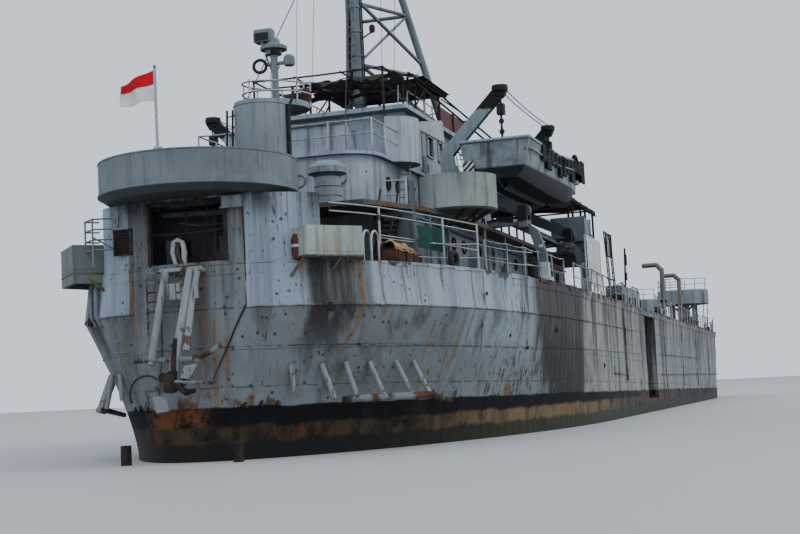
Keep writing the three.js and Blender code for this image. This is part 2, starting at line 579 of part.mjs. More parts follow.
const AERIAL = { s: 19.1, foot: 25.1 };
const mastLevels = [16.9, 19.4, 21.9];
const mastParts = [
  disc(AERIAL.s, 0, 0.22, MAST.top, AERIAL.foot, 14),
  bar([MAST.s, 0, MAST.foot], [MAST.s, 0, MAST.top], MAST.leg, 10),
  box([MAST.s - 0.4, MAST.s + 0.4], [-0.4, 0.4], [MAST.foot, MAST.foot + 0.15]),
  box([16.4, 19.6], [-1.3, 1.3], [MAST.top - 0.05, MAST.top + 0.1]),
  bar([MAST.s, 0, MAST.top], [MAST.s, 0, 30], 0.1),
  bar([MAST.s, -2.2, 27.2], [MAST.s, 2.2, 27.2], 0.06, 6),
];
for (const side of [-1, 1]) {
  mastParts.push(bar(onSideLeg(MAST.foot + 0.08, side), onSideLeg(MAST.top, side), MAST.sideLeg, 10));
  const foot = onSideLeg(MAST.foot, side);
  mastParts.push(box([foot[0] - 0.4, foot[0] + 0.4], [foot[1] - 0.35, foot[1] + 0.35],
    [MAST.foot, MAST.foot + 0.15]));
  mastLevels.forEach((z, i) => {
    mastParts.push(bar([MAST.s, 0, z], onSideLeg(z, side), 0.08));
    const above = mastLevels[i + 1] ?? MAST.top - 0.1;
    mastParts.push(bar([MAST.s, 0, z], onSideLeg(above, side), 0.06, 6));
  });
}
for (const z of mastLevels) {
  mastParts.push(bar(onSideLeg(z, -1), onSideLeg(z, 1), 0.08));
}
add('tripod_mast', join(...mastParts), 'mast');

add('radar_aerial', join(
  disc(AERIAL.s, 0, 0.16, AERIAL.foot + GAP, 25.35, 14),
  box([AERIAL.s - 0.12, AERIAL.s + 0.12], [-1.0, 1.0], [25.3, 25.55]),
), 'mast');

// Awning frame with its torn cover over the bridge, and the forward awning
// Posts are rows of [station, height of their foot]
function awning(posts, half, top) {
  const aft = posts[0][0] - 0.15;
  const fore = posts[posts.length - 1][0] + 0.15;
  const parts = [box([aft, fore], [-half - 0.1, half + 0.1], [top, top + 0.1])];
  for (const [s, foot] of posts) {
    for (const side of [-1, 1]) {
      parts.push(bar([s, side * half, foot], [s, side * half, top + 0.05], 0.06, 6));
    }
  }
  return join(...parts);
}

const roofFoot = ROOF + 0.14 + GAP;
const bridgePosts = [[12.8, BRIDGE + GAP], [15.2, roofFoot], [16.8, roofFoot]];
add('bridge_awning', awning(bridgePosts, 2.5, 15.9), 'cloth');
const forwardPosts = [27.7, 31, 34.3].map((s) => [s, BOAT_DECK + GAP]);
add('forward_awning', awning(forwardPosts, 6.2, 12.35), 'cloth');

// Vent with a white cap abaft the bridge
const VENT = { s: 7.2, y: -2.3 };
add('mushroom_vent', turned([[0, BOAT_DECK + GAP], [0.42, BOAT_DECK + GAP], [0.42, 10.8], [0.62, 10.85],
  [0.62, 11.05], [0.35, 11.25], [0, 11.3]], VENT.s, VENT.y, 20), 'house');

// Davits: fixed frames on the deck edge, swinging arms, and the boats under them

const DAVIT = { stations: [16.5, 25.5], thick: 0.34, cheek: 0.23, pivotY: -6.6, pivotZ: 10.35 };
const HEAD = { y: -5.92, z: 14.95, r: 0.24 };

function bent(path, width, s0, s1) {
  const left = [];
  const right = [];
  path.forEach(([y, z], i) => {
    const [py, pz] = path[Math.max(0, i - 1)];
    const [ny, nz] = path[Math.min(path.length - 1, i + 1)];
    const length = Math.hypot(ny - py, nz - pz);
    const offY = (-(nz - pz) / length) * (width / 2);
    const offZ = ((ny - py) / length) * (width / 2);
    left.push([y + offY, z + offZ]);
    right.push([y - offY, z - offZ]);
  });
  return crossPlate([...left, ...right.reverse()], s0, s1);
}

const framePath = [[-7.2, DECK + GAP + 0.02], [-7.2, 8.7], [-6.95, 9.5], [-6.3, 9.98], [-5.55, 9.98]];
const frameParts = DAVIT.stations.flatMap((s) => [
  bent(framePath, 0.34, s - DAVIT.thick / 2, s + DAVIT.thick / 2),
  box([s - 0.4, s - DAVIT.cheek], [DAVIT.pivotY - 0.16, DAVIT.pivotY + 0.16], [9.7, DAVIT.pivotZ + 0.16]),
  box([s + DAVIT.cheek, s + 0.4], [DAVIT.pivotY - 0.16, DAVIT.pivotY + 0.16], [9.7, DAVIT.pivotZ + 0.16]),
  box([s - 0.4, s + 0.4], [DAVIT.pivotY - 0.16, DAVIT.pivotY + 0.16], [9.7, 10.0]),
  box([s - 0.3, s + 0.3], [-7.45, -6.95], [DECK + GAP, DECK + 0.12]),
  box([s - 0.25, s + 0.25], [-5.6, -5.2], [BOAT_DECK + GAP, BOAT_DECK + 0.25]),
]);
const frameBeam = box([DAVIT.stations[0], DAVIT.stations[1]], [-6.2, -5.95], [9.86, 10.08]);
addPair('davit_frame', join(...frameParts, frameBeam), 'mast');

const armPath = [[DAVIT.pivotY, DAVIT.pivotZ], [-5.2, 11.0], [-4.1, 11.75], [-3.6, 12.8], [-3.95, 13.85],
  [-4.9, 14.6], [HEAD.y, HEAD.z]];
const armNames = ['aft', 'forward'];
const pinEnd = DAVIT.cheek - GAP;
DAVIT.stations.forEach((s, i) => {
  const arm = join(
    bent(armPath, 0.42, s - 0.15, s + 0.15),
    bar([s - 0.17, DAVIT.pivotY, DAVIT.pivotZ], [s + 0.17, DAVIT.pivotY, DAVIT.pivotZ], 0.25, 14),
    bar([s - pinEnd, DAVIT.pivotY, DAVIT.pivotZ], [s + pinEnd, DAVIT.pivotY, DAVIT.pivotZ], 0.12, 12),
    bar([s - 0.17, HEAD.y, HEAD.z], [s + 0.17, HEAD.y, HEAD.z], HEAD.r, 16),
  );
  addPair(`davit_arm_${armNames[i]}`, arm, 'mast');
});

const BOAT = { aft: 15.1, fore: 26.9, half: 1.3, low: 11.45, top: 12.85, wall: 0.12 };
const BOAT_LEVELS = [[0, 0.62, 0.9], [0.4, 0.9, 0.3], [1, 1, 0]];

function boatLoop([rise, spread, bowCut], inset) {
  const half = BOAT.half * spread - inset;
  const z = mix(BOAT.low, BOAT.top, rise) + (rise === 0 ? inset : 0);
  const fore = BOAT.fore - bowCut * 1.6 - inset;
  const aft = BOAT.aft + inset;
  const plan = [[aft, -half], [21, -half], [fore - 2.6, -half], [fore, -half * 0.72],
    [fore, half * 0.72], [fore - 2.6, half], [21, half], [aft, half]];
  const sheer = rise === 1 ? [0, 0.15, 0.45, 0.75] : [0, 0, 0.1, 0.5];
  return plan.map(([s, y], i) => at(s, HEAD.y + y, z + sheer[i < 4 ? i : 7 - i]));
}

const boatOuter = loft(BOAT_LEVELS.map((level) => boatLoop(level, 0)));
const boatInner = loft([...BOAT_LEVELS.map((level) => boatLoop(level, BOAT.wall)),
  boatLoop(BOAT_LEVELS[2], BOAT.wall).map((p) => p.clone().setZ(p.z + MM))]);
const slings = DAVIT.stations.flatMap((s) => [
  bar([s, HEAD.y, BOAT.low + 0.05], [s, HEAD.y, HEAD.z - HEAD.r - 2 * GAP], 0.07, 8),
  box([s - 0.15, s + 0.15], [HEAD.y - 1.22, HEAD.y + 1.22], [12.45, 12.65]),
  box([s - 0.16, s + 0.16], [HEAD.y - 0.14, HEAD.y + 0.14], [14.05, 14.45]),
]);
addPair('landing_boat', join(cut(boatOuter, boatInner), ...slings), 'dark');

// Forward deck: pipes with bent tops, the tubs on their stands, boxes and the windlass

function gooseneck(s) {
  const y = -6.4;
  return join(
    bar([s, y, DECK + GAP], [s, y, 11.3], 0.16, 10),
    bar([s, y, 11.25], [s, y + 0.35, 11.65], 0.16, 10),
    bar([s, y + 0.3, 11.63], [s, y + 1.3, 11.63], 0.16, 10),
    disc(s, y, 0.32, DECK + GAP, DECK + 0.12, 12),
    new THREE.SphereGeometry(0.165 * MM, 10, 8).translate(...at(s, y, 11.28).toArray()),
  );
}
addPair('vent_pipe_aft', gooseneck(60.5), 'house');
addPair('vent_pipe_forward', gooseneck(71), 'house');

addPair('deck_box', box([35.2, 41.5], [-7.35, -6.5], [DECK + GAP, 8.65]), 'house');

function raisedTub(s, y, r, floor, top) {
  const posts = [0, 1, 2, 3].map((i) => {
    const turn = ((i + 0.5) * Math.PI) / 2;
    const away = r * 0.62;
    const foot = [s + away * Math.cos(turn), y + away * Math.sin(turn)];
    return bar([...foot, DECK + GAP], [...foot, floor + 0.1], 0.14);
  });
  const ring = turned([[0, floor], [r, floor], [r, top],
    [r - 0.1, top], [r - 0.1, floor + 0.14], [0, floor + 0.14]], s, y, 28);
  return join(ring, ...posts, disc(s, y, 0.5, DECK + GAP, floor + 0.05, 12));
}
addPair('forward_gun_tub', raisedTub(82, -5.5, 2.05, 9.95, 11.1), 'house');
add('bow_gun_tub', raisedTub(91.5, 0, 2.2, 9.9, 11.1), 'house');

add('anchor_windlass', join(
  box([86.2, 87.8], [-1.1, 1.1], [DECK + GAP, DECK + 0.3]),
  bar([87, -1.3, 8.3], [87, 1.3, 8.3], 0.38, 14),
  box([86.7, 87.3], [-0.95, -0.7], [DECK + 0.1, 8.5]),
  box([86.7, 87.3], [0.7, 0.95], [DECK + 0.1, 8.5]),
), 'dark');

// Flagstaff and flag on the stern tub
const STAFF = { s: 0.16, y: 0, top: 13.1 };
add('flagstaff', join(
  bar([-0.02 + STAFF.s, STAFF.y, TUB.top + GAP], [STAFF.s - 0.06, STAFF.y, STAFF.top], 0.045),
  disc(STAFF.s, STAFF.y, 0.12, TUB.top + GAP, TUB.top + 0.08, 10),
), 'mast');

add('flag', box([STAFF.s - 0.055, STAFF.s - 0.025], [STAFF.y + 0.05, STAFF.y + 1.1], [12.1, 12.95]), 'flag');

export default group;
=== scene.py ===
"""Tank landing ship, 1:10 model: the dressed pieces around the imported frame.

Positions are the real ship's metres, as in the model's source: station s from the stern
tub's after end, y to port, z above the base line. at() turns them into the model's metres.
"""

import math
import random

import bmesh
import bpy
from bpy.props import FloatProperty, FloatVectorProperty, IntProperty, PointerProperty
from mathutils import Matrix, Vector, noise


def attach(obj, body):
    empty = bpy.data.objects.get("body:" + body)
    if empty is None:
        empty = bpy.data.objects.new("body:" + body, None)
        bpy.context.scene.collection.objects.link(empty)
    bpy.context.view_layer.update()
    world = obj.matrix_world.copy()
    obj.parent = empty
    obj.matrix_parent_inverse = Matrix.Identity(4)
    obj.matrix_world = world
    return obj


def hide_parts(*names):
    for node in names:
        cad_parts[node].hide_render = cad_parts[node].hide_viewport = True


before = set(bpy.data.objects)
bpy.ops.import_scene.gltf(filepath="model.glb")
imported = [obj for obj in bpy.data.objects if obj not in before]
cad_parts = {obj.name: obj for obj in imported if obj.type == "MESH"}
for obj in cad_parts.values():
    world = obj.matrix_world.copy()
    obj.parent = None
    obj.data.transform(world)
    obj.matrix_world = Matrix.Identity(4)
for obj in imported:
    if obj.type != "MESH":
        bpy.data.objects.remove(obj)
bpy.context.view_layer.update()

bl_info = {
    "name": "Tank landing ship model",
    "version": (1, 0, 0),
    "blender": (4, 5, 0),
    "location": "3D View > Sidebar > Landing ship",
    "description": "Dresses the 1:10 frame of a worn tank landing ship",
    "category": "Object",
}

# Sizes shared with the model's source, in the ship's metres
REAL = 0.1
AMIDSHIPS = 50.0
LENGTH = 100.0
HALF_BEAM = 7.62
DECK = 7.67
SIDE_TOP = 7.37
FLOOR = 2.1
GAP = 0.003
CLEAR = 0.06
KNUCKLE = 6.4
STERN_CURVE = 26.4
STERN_WALL = 1.45
BOW_CURVE = 83.0
FACET = 1.66
TUB = {"s": 2.8, "r": 2.8, "floor": 9.6, "top": 10.75}
HATCH = {"s": (56.0, 63.0), "half": 2.6}
STERN_BLOCK_END = 14.0
BOW_BLOCK_START = 88.0
DOOR_HINGE = -5.75
SIGNAL_DECK = (4.1, -1.95)
SIGNAL_TOP = 12.4
BOAT_DECK = 9.8
BRIDGE = 12.0
HEAD = {"y": -5.92, "z": 14.95, "r": 0.24}
DAVIT_STATIONS = (16.5, 25.5)
DAVIT_PIVOT = (-6.6, 10.35)
HOUSE_WALL = -4.7
UPPER_WALL = -2.8
SIDES = {"starboard": -1, "port": 1}

# The photograph's camera: its place in the model's metres and its yaw, pitch and roll in degrees
CAMERA_PLACE = (-8.344, -1.729, 0.382)
CAMERA_TURNS = (17.38, 5.22, -2.71)
SENSOR_WIDTH = 36.0

# Light: the even sky, and large soft lamps as (name, place, aim, size, power) in the model's metres
SKY_COLOUR = (0.74, 0.82, 0.96, 1.0)
LAMP_COLOUR = (1.0, 0.985, 0.96)
LAMPS = (("key_light", (4, -22, 20), (0, 0, 0.5), 16, 2600),
         ("stern_fill", (-22, -6, 10), (-3, 0, 0.6), 12, 500))
FLOOR_REACH = 150.0

# Cracks between points that meet are closed below this distance, in the model's metres
WELD_GAP = 2e-6
CLOTH_THICKNESS = 0.0012

# A worn edge is rounded in this many steps where its faces meet at more than this angle, in degrees
EDGE_STEPS = 2
EDGE_ANGLE = 40


def mix(a, b, t):
    return a + (b - a) * min(1.0, max(0.0, t))


def at(s, y, z):
    return Vector(((s - AMIDSHIPS) * REAL, y * REAL, z * REAL))


# Form of the hull, the same curves as the solids


def stern_power(z):
    if z >= KNUCKLE:
        return mix(2.75, 2.63, (z - KNUCKLE) / (DECK - KNUCKLE))
    return mix(1.8, 2.75, max(0.0, (z - FLOOR) / (KNUCKLE - FLOOR)) ** 1.7)


def half_breadth(s, z):
    if s < STERN_CURVE:
        power = stern_power(z)
        x = min(1.0, (STERN_CURVE - s) / (STERN_CURVE - STERN_WALL))
        return HALF_BEAM * (1 - x**power) ** (1 / power)
    if s > BOW_CURVE:
        t = (z - FLOOR) / (DECK - FLOOR)
        a, b = mix(1.7, 2.4, t), mix(1.3, 1.9, t)
        x = min(1.0, (s - BOW_CURVE) / (LENGTH - BOW_CURVE))
        return HALF_BEAM * (1 - x**a) ** (1 / b)
    return HALF_BEAM


def stern_station(y, z):
    power = stern_power(z)
    return STERN_CURVE - (STERN_CURVE - STERN_WALL) * (1 - (y / HALF_BEAM) ** power) ** (1 / power)


def evenly(path, count):
    """The same path as count points at equal steps along it."""
    lengths = [0.0]
    for a, b in zip(path, path[1:]):
        lengths.append(lengths[-1] + math.dist(a, b))
    spots, i = [], 0
    for k in range(count):
        want = lengths[-1] * k / (count - 1)
        while i < len(path) - 2 and lengths[i + 1] < want:
            i += 1
        span = lengths[i + 1] - lengths[i]
        t = (want - lengths[i]) / span if span else 0.0
        spots.append(tuple(a + (b - a) * t for a, b in zip(path[i], path[i + 1])))
    return spots


def stern_half(z, front, count):
    """Starboard half of the stern's plan, from the flat middle forward."""
    facet = mix(0.25, FACET, (z - FLOOR) / (KNUCKLE - FLOOR))
    side = half_breadth(front, z)
    dense = []
    for i in range(241):
        y = facet + (side - facet) * math.sin(math.pi / 2 * i / 240)
        dense.append((stern_station(min(y, side), z), -min(y, side)))
    dense.append((front, -side))
    middle = [(dense[0][0], dense[0][1] * k / 5) for k in range(5)]
    return middle + evenly(dense, count)


def stern_plan(z, front, count):
    """The stern's plan from port forward, round the stern, to starboard forward."""
    starboard = stern_half(z, front, count)
    port = [(s, -y) for s, y in starboard[1:]][::-1]
    return port + starboard


def rise_curve(points, steps):
    """A smooth path through points."""
    path = []
    ends = [points[0], *points, points[-1]]
    for i in range(1, len(ends) - 2):
        for k in range(steps):
            t = k / steps
            spot = []
            for a, b, c, d in zip(*ends[i - 1:i + 3]):
                spot.append(0.5 * (2 * b + (c - a) * t + (2 * a - 5 * b + 4 * c - d) * t**2
                                   + (3 * b - a - 3 * c + d) * t**3))
            path.append(tuple(spot))
    path.append(tuple(points[-1]))
    return path


def turns(count):
    """Equal turns round a whole circle, in radians."""
    return [2 * math.pi * k / count for k in range(count)]


def around(s, y, r, turn):
    """The (s, y) point at a turn on a circle."""
    return s + r * math.cos(turn), y + r * math.sin(turn)


def sagging(a, b, sag, steps=8):
    """A wire or rail between two points, hanging by sag in its middle."""
    return [tuple(p + (q - p) * k / steps - (sag * 4 * (k / steps) * (1 - k / steps) if axis == 2 else 0)
                  for axis, (p, q) in enumerate(zip(a, b))) for k in range(steps + 1)]


class Form:
    """Faces of one piece, given in the ship's metres."""

    def __init__(self):
        self.points = []
        self.faces = []

    def patch(self, points, faces):
        start = len(self.points)
        self.points += [at(*p) for p in points]
        self.faces += [[start + i for i in face] for face in faces]
        return self

    def box(self, s, y, z):
        points = [(a, b, c) for c in z for b in y for a in s]
        sides = [(0, 2, 3, 1), (4, 5, 7, 6), (0, 1, 5, 4), (2, 6, 7, 3), (0, 4, 6, 2), (1, 3, 7, 5)]
        return self.patch(points, sides)

    def loft(self, loops, closed=True, caps=True):
        count = len(loops[0])
        faces = []
        for row in range(len(loops) - 1):
            for i in range(count if closed else count - 1):
                a, b = row * count + i, row * count + (i + 1) % count
                faces.append((a, b, b + count, a + count))
        if caps:
            faces.append(tuple(range(count))[::-1])
            faces.append(tuple(range((len(loops) - 1) * count, len(loops) * count)))
        return self.patch([p for loop in loops for p in loop], faces)

    def tube(self, path, radius, sides=8):
        """A round bar along a path, of one radius or one for each point."""
        radii = radius if isinstance(radius, (list, tuple)) else [radius] * len(path)
        spots = [Vector(p) for p in path]
        loops = []
        side = None
        for i, spot in enumerate(spots):
            along = spots[min(i + 1, len(spots) - 1)] - spots[max(i - 1, 0)]
            along.normalize()
            if side is None:
                side = along.cross(Vector((0, 0, 1)))
                if side.length < 0.1:
                    side = along.cross(Vector((1, 0, 0)))
            side = (side - along * side.dot(along)).normalized()
            up = along.cross(side)
            loops.append([tuple(spot + (side * math.cos(turn) + up * math.sin(turn)) * radii[i])
                          for turn in turns(sides)])
        return self.loft(loops)

    def turned(self, profile, s, y, sides=32, ring=False):
        """A shape turned about the vertical through (s, y), from (radius, z) points."""
        loops = [[(*around(s, y, r, turn), z) for turn in turns(sides)] for r, z in profile]
        if ring:
            loops.append(loops[0])
        return self.loft(loops, caps=not ring)

    def drum(self, s, y, r, z0, z1, sides=24):
        return self.turned([(r, z0), (r, z1)], s, y, sides)

    def slab(self, outline, z0, z1):
        """A plan outline of (s, y) points raised from z0 to z1."""
        return self.loft([[(s, y, z) for s, y in outline] for z in (z0, z1)])

    def side_plate(self, outline, y0, y1):
        """A side view outline of (s, z) points from y0 to y1."""
        return self.loft([[(s, y, z) for s, z in outline] for y in (y0, y1)])

    def cross_plate(self, outline, s0, s1):
        """An outline of (y, z) points seen along the ship, from s0 to s1."""
        return self.loft([[(s, y, z) for y, z in outline] for s in (s0, s1)])

    def wheel(self, centre, axis, outer, inner, wide, sides=20):
        """A tyre or ring round an axis."""
        centre, axis = Vector(centre), Vector(axis).normalized()
        side = axis.cross(Vector((0, 0, 1)))
        side = side.normalized() if side.length > 0.1 else Vector((1, 0, 0))
        up = axis.cross(side)
        middle, deep = (outer + inner) / 2, (outer - inner) / 2
        loops = []
        for turn in turns(8):
            r = middle + deep * math.cos(turn)
            off = axis * (wide / 2 * math.sin(turn))
            loops.append([tuple(centre + off + (side * math.cos(t) + up * math.sin(t)) * r)
                          for t in turns(sides)])
        return self.loft(loops + loops[:1], caps=False)

    def add(self, other):
        start = len(self.points)
        self.points += other.points
        self.faces += [[start + i for i in face] for face in other.faces]

    def mirrored(self):
        """The same form on the other side."""
        other = Form()
        other.points = [Vector((p.x, -p.y, p.z)) for p in self.points]
        other.faces = [face[::-1] for face in self.faces]
        return other


# The frame's material slot that each finish stands for
SLOTS = {
    "dark_steel": "black dark glass inside wire",
    "boat_paint": "boat hazard",
    "bottom_paint": "bottom",
    "mast_paint": "davit mast",
    "deck_paint": "deck",
    "flag_cloth": "flag",
    "green_paint": "green",
    "house_paint": "house pale platform tub white worn",
    "hull_paint": "hull",
    "rusty_steel": "lip redbrown rust scaled",
}
SLOT_OF = {finish: slot for slot, finishes in SLOTS.items() for finish in finishes.split()}


def make(name, form, finish, body="root", slot=None, replaces=(), sharp=32.0, bevel=0.0):
    """A piece from a form, closed up, shaded smooth below an angle and set on its body."""
    mesh = bpy.data.meshes.new(name)
    mesh.from_pydata(form.points, [], form.faces)
    work = bmesh.new()
    work.from_mesh(mesh)
    bmesh.ops.remove_doubles(work, verts=work.verts, dist=WELD_GAP)
    bmesh.ops.recalc_face_normals(work, faces=work.faces)
    limit = math.radians(sharp)
    for edge in work.edges:
        edge.smooth = len(edge.link_faces) == 2 and edge.calc_face_angle(3.0) < limit
    for face in work.faces:
        face.smooth = True
    work.to_mesh(mesh)
    work.free()
    mesh.materials.append(FINISHES[finish])
    piece = bpy.data.objects.new(name, mesh)
    bpy.context.scene.collection.objects.link(piece)
    if bevel:
        round_edges(piece, bevel)
    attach(piece, body)
    slot or finish in SLOT_OF
    if replaces:
        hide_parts(*replaces)
    return piece


def round_edges(piece, width):
    edge = piece.modifiers.new("worn edges", "BEVEL")
    edge.width = width * REAL
    edge.segments = EDGE_STEPS
    edge.limit_method = "ANGLE"
    edge.angle_limit = math.radians(EDGE_ANGLE)


def finish_nodes(finish, names, bevel=0.0):
    """Gives CAD nodes that keep their own shape their finish."""
    for name in names:
        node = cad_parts[name]
        node.data.materials.clear()
        node.data.materials.append(FINISHES[finish])
        if bevel:
            round_edges(node, bevel)


def both_sides(name, form, finish, **settings):
    """The starboard piece and the port one that mirrors it; {side} in a setting names it."""
    for side, shape in (("starboard", form), ("port", form.mirrored())):
        said = {}
        for key, value in settings.items():
            if isinstance(value, str):
                value = value.format(side=side)
            elif isinstance(value, tuple):
                value = tuple(v.format(side=side) for v in value)
            said[key] = value
        make(f"{name}_{side}", shape, finish, **said)


# Shader maths


class Value:
    """A socket that takes part in sums."""

    def __init__(self, finish, socket):
        self.finish = finish
        self.socket = socket

    def __add__(self, other):
        return self.finish.sum("ADD", self, other)

    def __radd__(self, other):
        return self.finish.sum("ADD", other, self)

    def __sub__(self, other):
        return self.finish.sum("SUBTRACT", self, other)

    def __rsub__(self, other):
        return self.finish.sum("SUBTRACT", other, self)

    def __mul__(self, other):
        return self.finish.sum("MULTIPLY", self, other)

    def __rmul__(self, other):
        return self.finish.sum("MULTIPLY", other, self)


class Finish:
    """A material with its node tree; positions in it are the ship's metres."""

    def __init__(self, name, roughness=0.7, metallic=0.0):
        self.material = bpy.data.materials.new(name)
        self.material.use_nodes = True
        self.tree = self.material.node_tree
        self.shader = self.tree.nodes["Principled BSDF"]
        self.skin = None
        self.shader.inputs["Roughness"].default_value = roughness
        self.shader.inputs["Metallic"].default_value = metallic
        self.shader.inputs["Specular IOR Level"].default_value = 0.5 if metallic or roughness < 0.3 else 0.2
        place = self.node("ShaderNodeTexCoord").outputs["Object"]
        scaled = self.node("ShaderNodeVectorMath", {"operation": "MULTIPLY_ADD"},
                           {0: place, 1: (10.0, 10.0, 10.0), 2: (AMIDSHIPS, 0.0, 0.0)})
        self.place = scaled.outputs[0]
        parts = self.node("ShaderNodeSeparateXYZ", {}, {0: self.place})
        self.s, self.y, self.z = (Value(self, out) for out in parts.outputs)
        facing = self.node("ShaderNodeNewGeometry").outputs["Normal"]
        turned = self.node("ShaderNodeSeparateXYZ", {}, {0: facing})
        self.up = Value(self, turned.outputs[2])

    def node(self, kind, settings=None, values=None):
        made = self.tree.nodes.new(kind)
        for key, value in (settings or {}).items():
            setattr(made, key, value)
        for key, value in (values or {}).items():
            socket = made.inputs[key]
            if isinstance(value, Value):
                self.tree.links.new(value.socket, socket)
            elif isinstance(value, bpy.types.NodeSocket):
                self.tree.links.new(value, socket)
            else:
                socket.default_value = value
        return made

    def sum(self, operation, a, b=0.0, clamp=False):
        made = self.node("ShaderNodeMath", {"operation": operation, "use_clamp": clamp}, {0: a, 1: b})
        return Value(self, made.outputs[0])

    def clipped(self, value):
        return self.sum("ADD", value, 0.0, True)

    def between(self, value, low, high):
        """0 below low, 1 above high and a soft step between them; low may be the larger."""
        made = self.node("ShaderNodeMapRange", {"interpolation_type": "SMOOTHSTEP"},
                         {"Value": value, "From Min": low, "From Max": high, "To Min": 0.0, "To Max": 1.0})
        return Value(self, made.outputs["Result"])

    def band(self, value, low, high, soft):
        return self.between(value, low - soft, low + soft) * self.between(value, high + soft, high - soft)

    def grain(self, scale, detail=4.0, rough=0.6, shift=0.0):
        """Noise from 0 to 1; scale is its cycles for a metre along s, y and z."""
        stretched = self.node("ShaderNodeVectorMath", {"operation": "MULTIPLY_ADD"},
                              {0: self.place, 1: scale, 2: (shift, shift * 0.7, shift * 1.3)})
        made = self.node("ShaderNodeTexNoise", {"noise_dimensions": "3D"},
                         {"Vector": stretched.outputs[0], "Scale": 1.0, "Detail": detail, "Roughness": rough})
        return Value(self, made.outputs["Fac"])

    def pits(self, scale, size, shift=0.0):
        """Round spots: 1 inside, 0 outside."""
        stretched = self.node("ShaderNodeVectorMath", {"operation": "MULTIPLY_ADD"},
                              {0: self.place, 1: scale, 2: (shift, shift, shift)})
        made = self.node("ShaderNodeTexVoronoi", {"feature": "F1"},
                         {"Vector": stretched.outputs[0], "Scale": 1.0})
        return self.between(Value(self, made.outputs["Distance"]), size, size * 0.6)

    def lines(self, value, spacing, width, shift=0.0):
        """Thin lines every so many metres: 1 on a line."""
        near = self.sum("PINGPONG", value + shift, spacing / 2)
        return self.between(near, width, 0.0)

    def blend(self, amount, under, over):
        made = self.node("ShaderNodeMix", {"data_type": "RGBA", "clamp_factor": True},
                         {0: amount, 6: self.colour(under), 7: self.colour(over)})
        return made.outputs[2]

    def multiplied(self, colour, amount, tint):
        """Colour multiplied by a tint as far as amount says."""
        made = self.node("ShaderNodeMix", {"data_type": "RGBA", "blend_type": "MULTIPLY"},
                         {0: amount, 6: self.colour(colour), 7: self.colour(tint)})
        return made.outputs[2]

    def lay(self, amount, over):
        """Lays a colour over the finish as far as amount says."""
        self.skin = self.blend(amount, self.skin, over)

    def cover(self, amount, *over):
        """Lays a screen colour, 0 to 255, over the finish."""
        self.lay(amount, tone(*over))

    def tint(self, amount, *tint):
        """Multiplies the finish by a screen colour as far as amount says."""
        self.skin = self.multiplied(self.skin, amount, tone(*tint))

    @staticmethod
    def colour(value):
        return (*value, 1.0) if isinstance(value, tuple) and len(value) == 3 else value

    def paint(self, roughness=None, height=None, depth=0.004):
        """Feeds the shader: colour, roughness and a bump whose depth is in the ship's metres."""
        tree, inputs = self.tree, self.shader.inputs
        tree.links.new(self.skin, inputs["Base Color"])
        if isinstance(roughness, Value):
            tree.links.new(roughness.socket, inputs["Roughness"])
        if height is not None:
            bump = self.node("ShaderNodeBump", {},
                             {"Strength": 1.0, "Distance": depth * REAL, "Height": height})
            tree.links.new(bump.outputs[0], inputs["Normal"])
        return self.material


def tone(red, green, blue):
    """A screen colour, 0 to 255, as Blender's linear one."""
    return tuple(((c / 255 + 0.055) / 1.055) ** 2.4 if c > 10 else c / 255 / 12.92
                 for c in (red, green, blue))


def shade(colour, factor):
    return tuple(c * factor for c in colour[:3])


class HullLook(bpy.types.PropertyGroup):
    """Colours and wear of the shell plating"""

    paint: FloatVectorProperty(name="Paint", description="Topside paint", subtype="COLOR", size=3,
                               min=0, max=1, default=tone(112, 118, 121))
    pale: FloatVectorProperty(name="Pale paint", description="Newer paint amidships", subtype="COLOR",
                              size=3, min=0, max=1, default=tone(141, 141, 132))
    stain: FloatVectorProperty(name="Stain", description="Soot and wet rust abreast the boats",
                               subtype="COLOR", size=3, min=0, max=1, default=tone(42, 42, 44))
    rust: FloatVectorProperty(name="Rust", description="Orange rust", subtype="COLOR", size=3,
                              min=0, max=1, default=tone(116, 76, 44))
    boot: FloatVectorProperty(name="Boot topping", description="Band above the water", subtype="COLOR",
                              size=3, min=0, max=1, default=tone(12, 12, 14))
    streaks: FloatProperty(name="Streaks", description="Strength of the rust streaks", subtype="FACTOR",
                           min=0, max=1, default=0.8)
    dents: FloatProperty(name="Dents", description="Depth of the plating's dents, ship's metres",
                         min=0, max=0.1, default=0.03)


class DeckLook(bpy.types.PropertyGroup):
    """Colours of the houses, decks and masts, and the rails' sizes"""

    house: FloatVectorProperty(name="Houses", description="Paint of houses and tubs", subtype="COLOR",
                               size=3, min=0, max=1, default=tone(120, 129, 134))
    deck: FloatVectorProperty(name="Decks", description="Worn deck paint", subtype="COLOR", size=3,
                              min=0, max=1, default=tone(80, 81, 78))
    mast: FloatVectorProperty(name="Masts", description="Paint of masts and davits", subtype="COLOR",
                              size=3, min=0, max=1, default=tone(110, 119, 124))
    green: FloatVectorProperty(name="Side tubs", description="Faded green paint", subtype="COLOR",
                               size=3, min=0, max=1, default=tone(142, 153, 148))
    rail_radius: FloatProperty(name="Rail radius", description="Radius of a rail, ship's metres",
                               min=0.01, max=0.1, default=0.03)
    rail_height: FloatProperty(name="Rail height", description="Height of the deck rails, ship's metres",
                               min=0.5, max=1.5, default=1.05)
    seed: IntProperty(name="Wear seed", description="Seed of the bent and broken pieces", min=0, default=7)


class StageLook(bpy.types.PropertyGroup):
    """Floor, light and camera"""

    floor: FloatVectorProperty(name="Floor", description="Colour of the floor", subtype="COLOR", size=3,
                               min=0, max=1, default=tone(180, 182, 180))
    waterline: FloatProperty(name="Waterline", description="Height of the floor", subtype="DISTANCE",
                             unit="LENGTH", min=0, max=1, default=0.217)
    lens: FloatProperty(name="Lens", description="Focal length in millimetres on a 36 mm sensor",
                        min=10, max=200, default=62.0)
    sky: FloatProperty(name="Sky light", description="Strength of the even light", min=0, max=3, default=1.22)


# Finishes


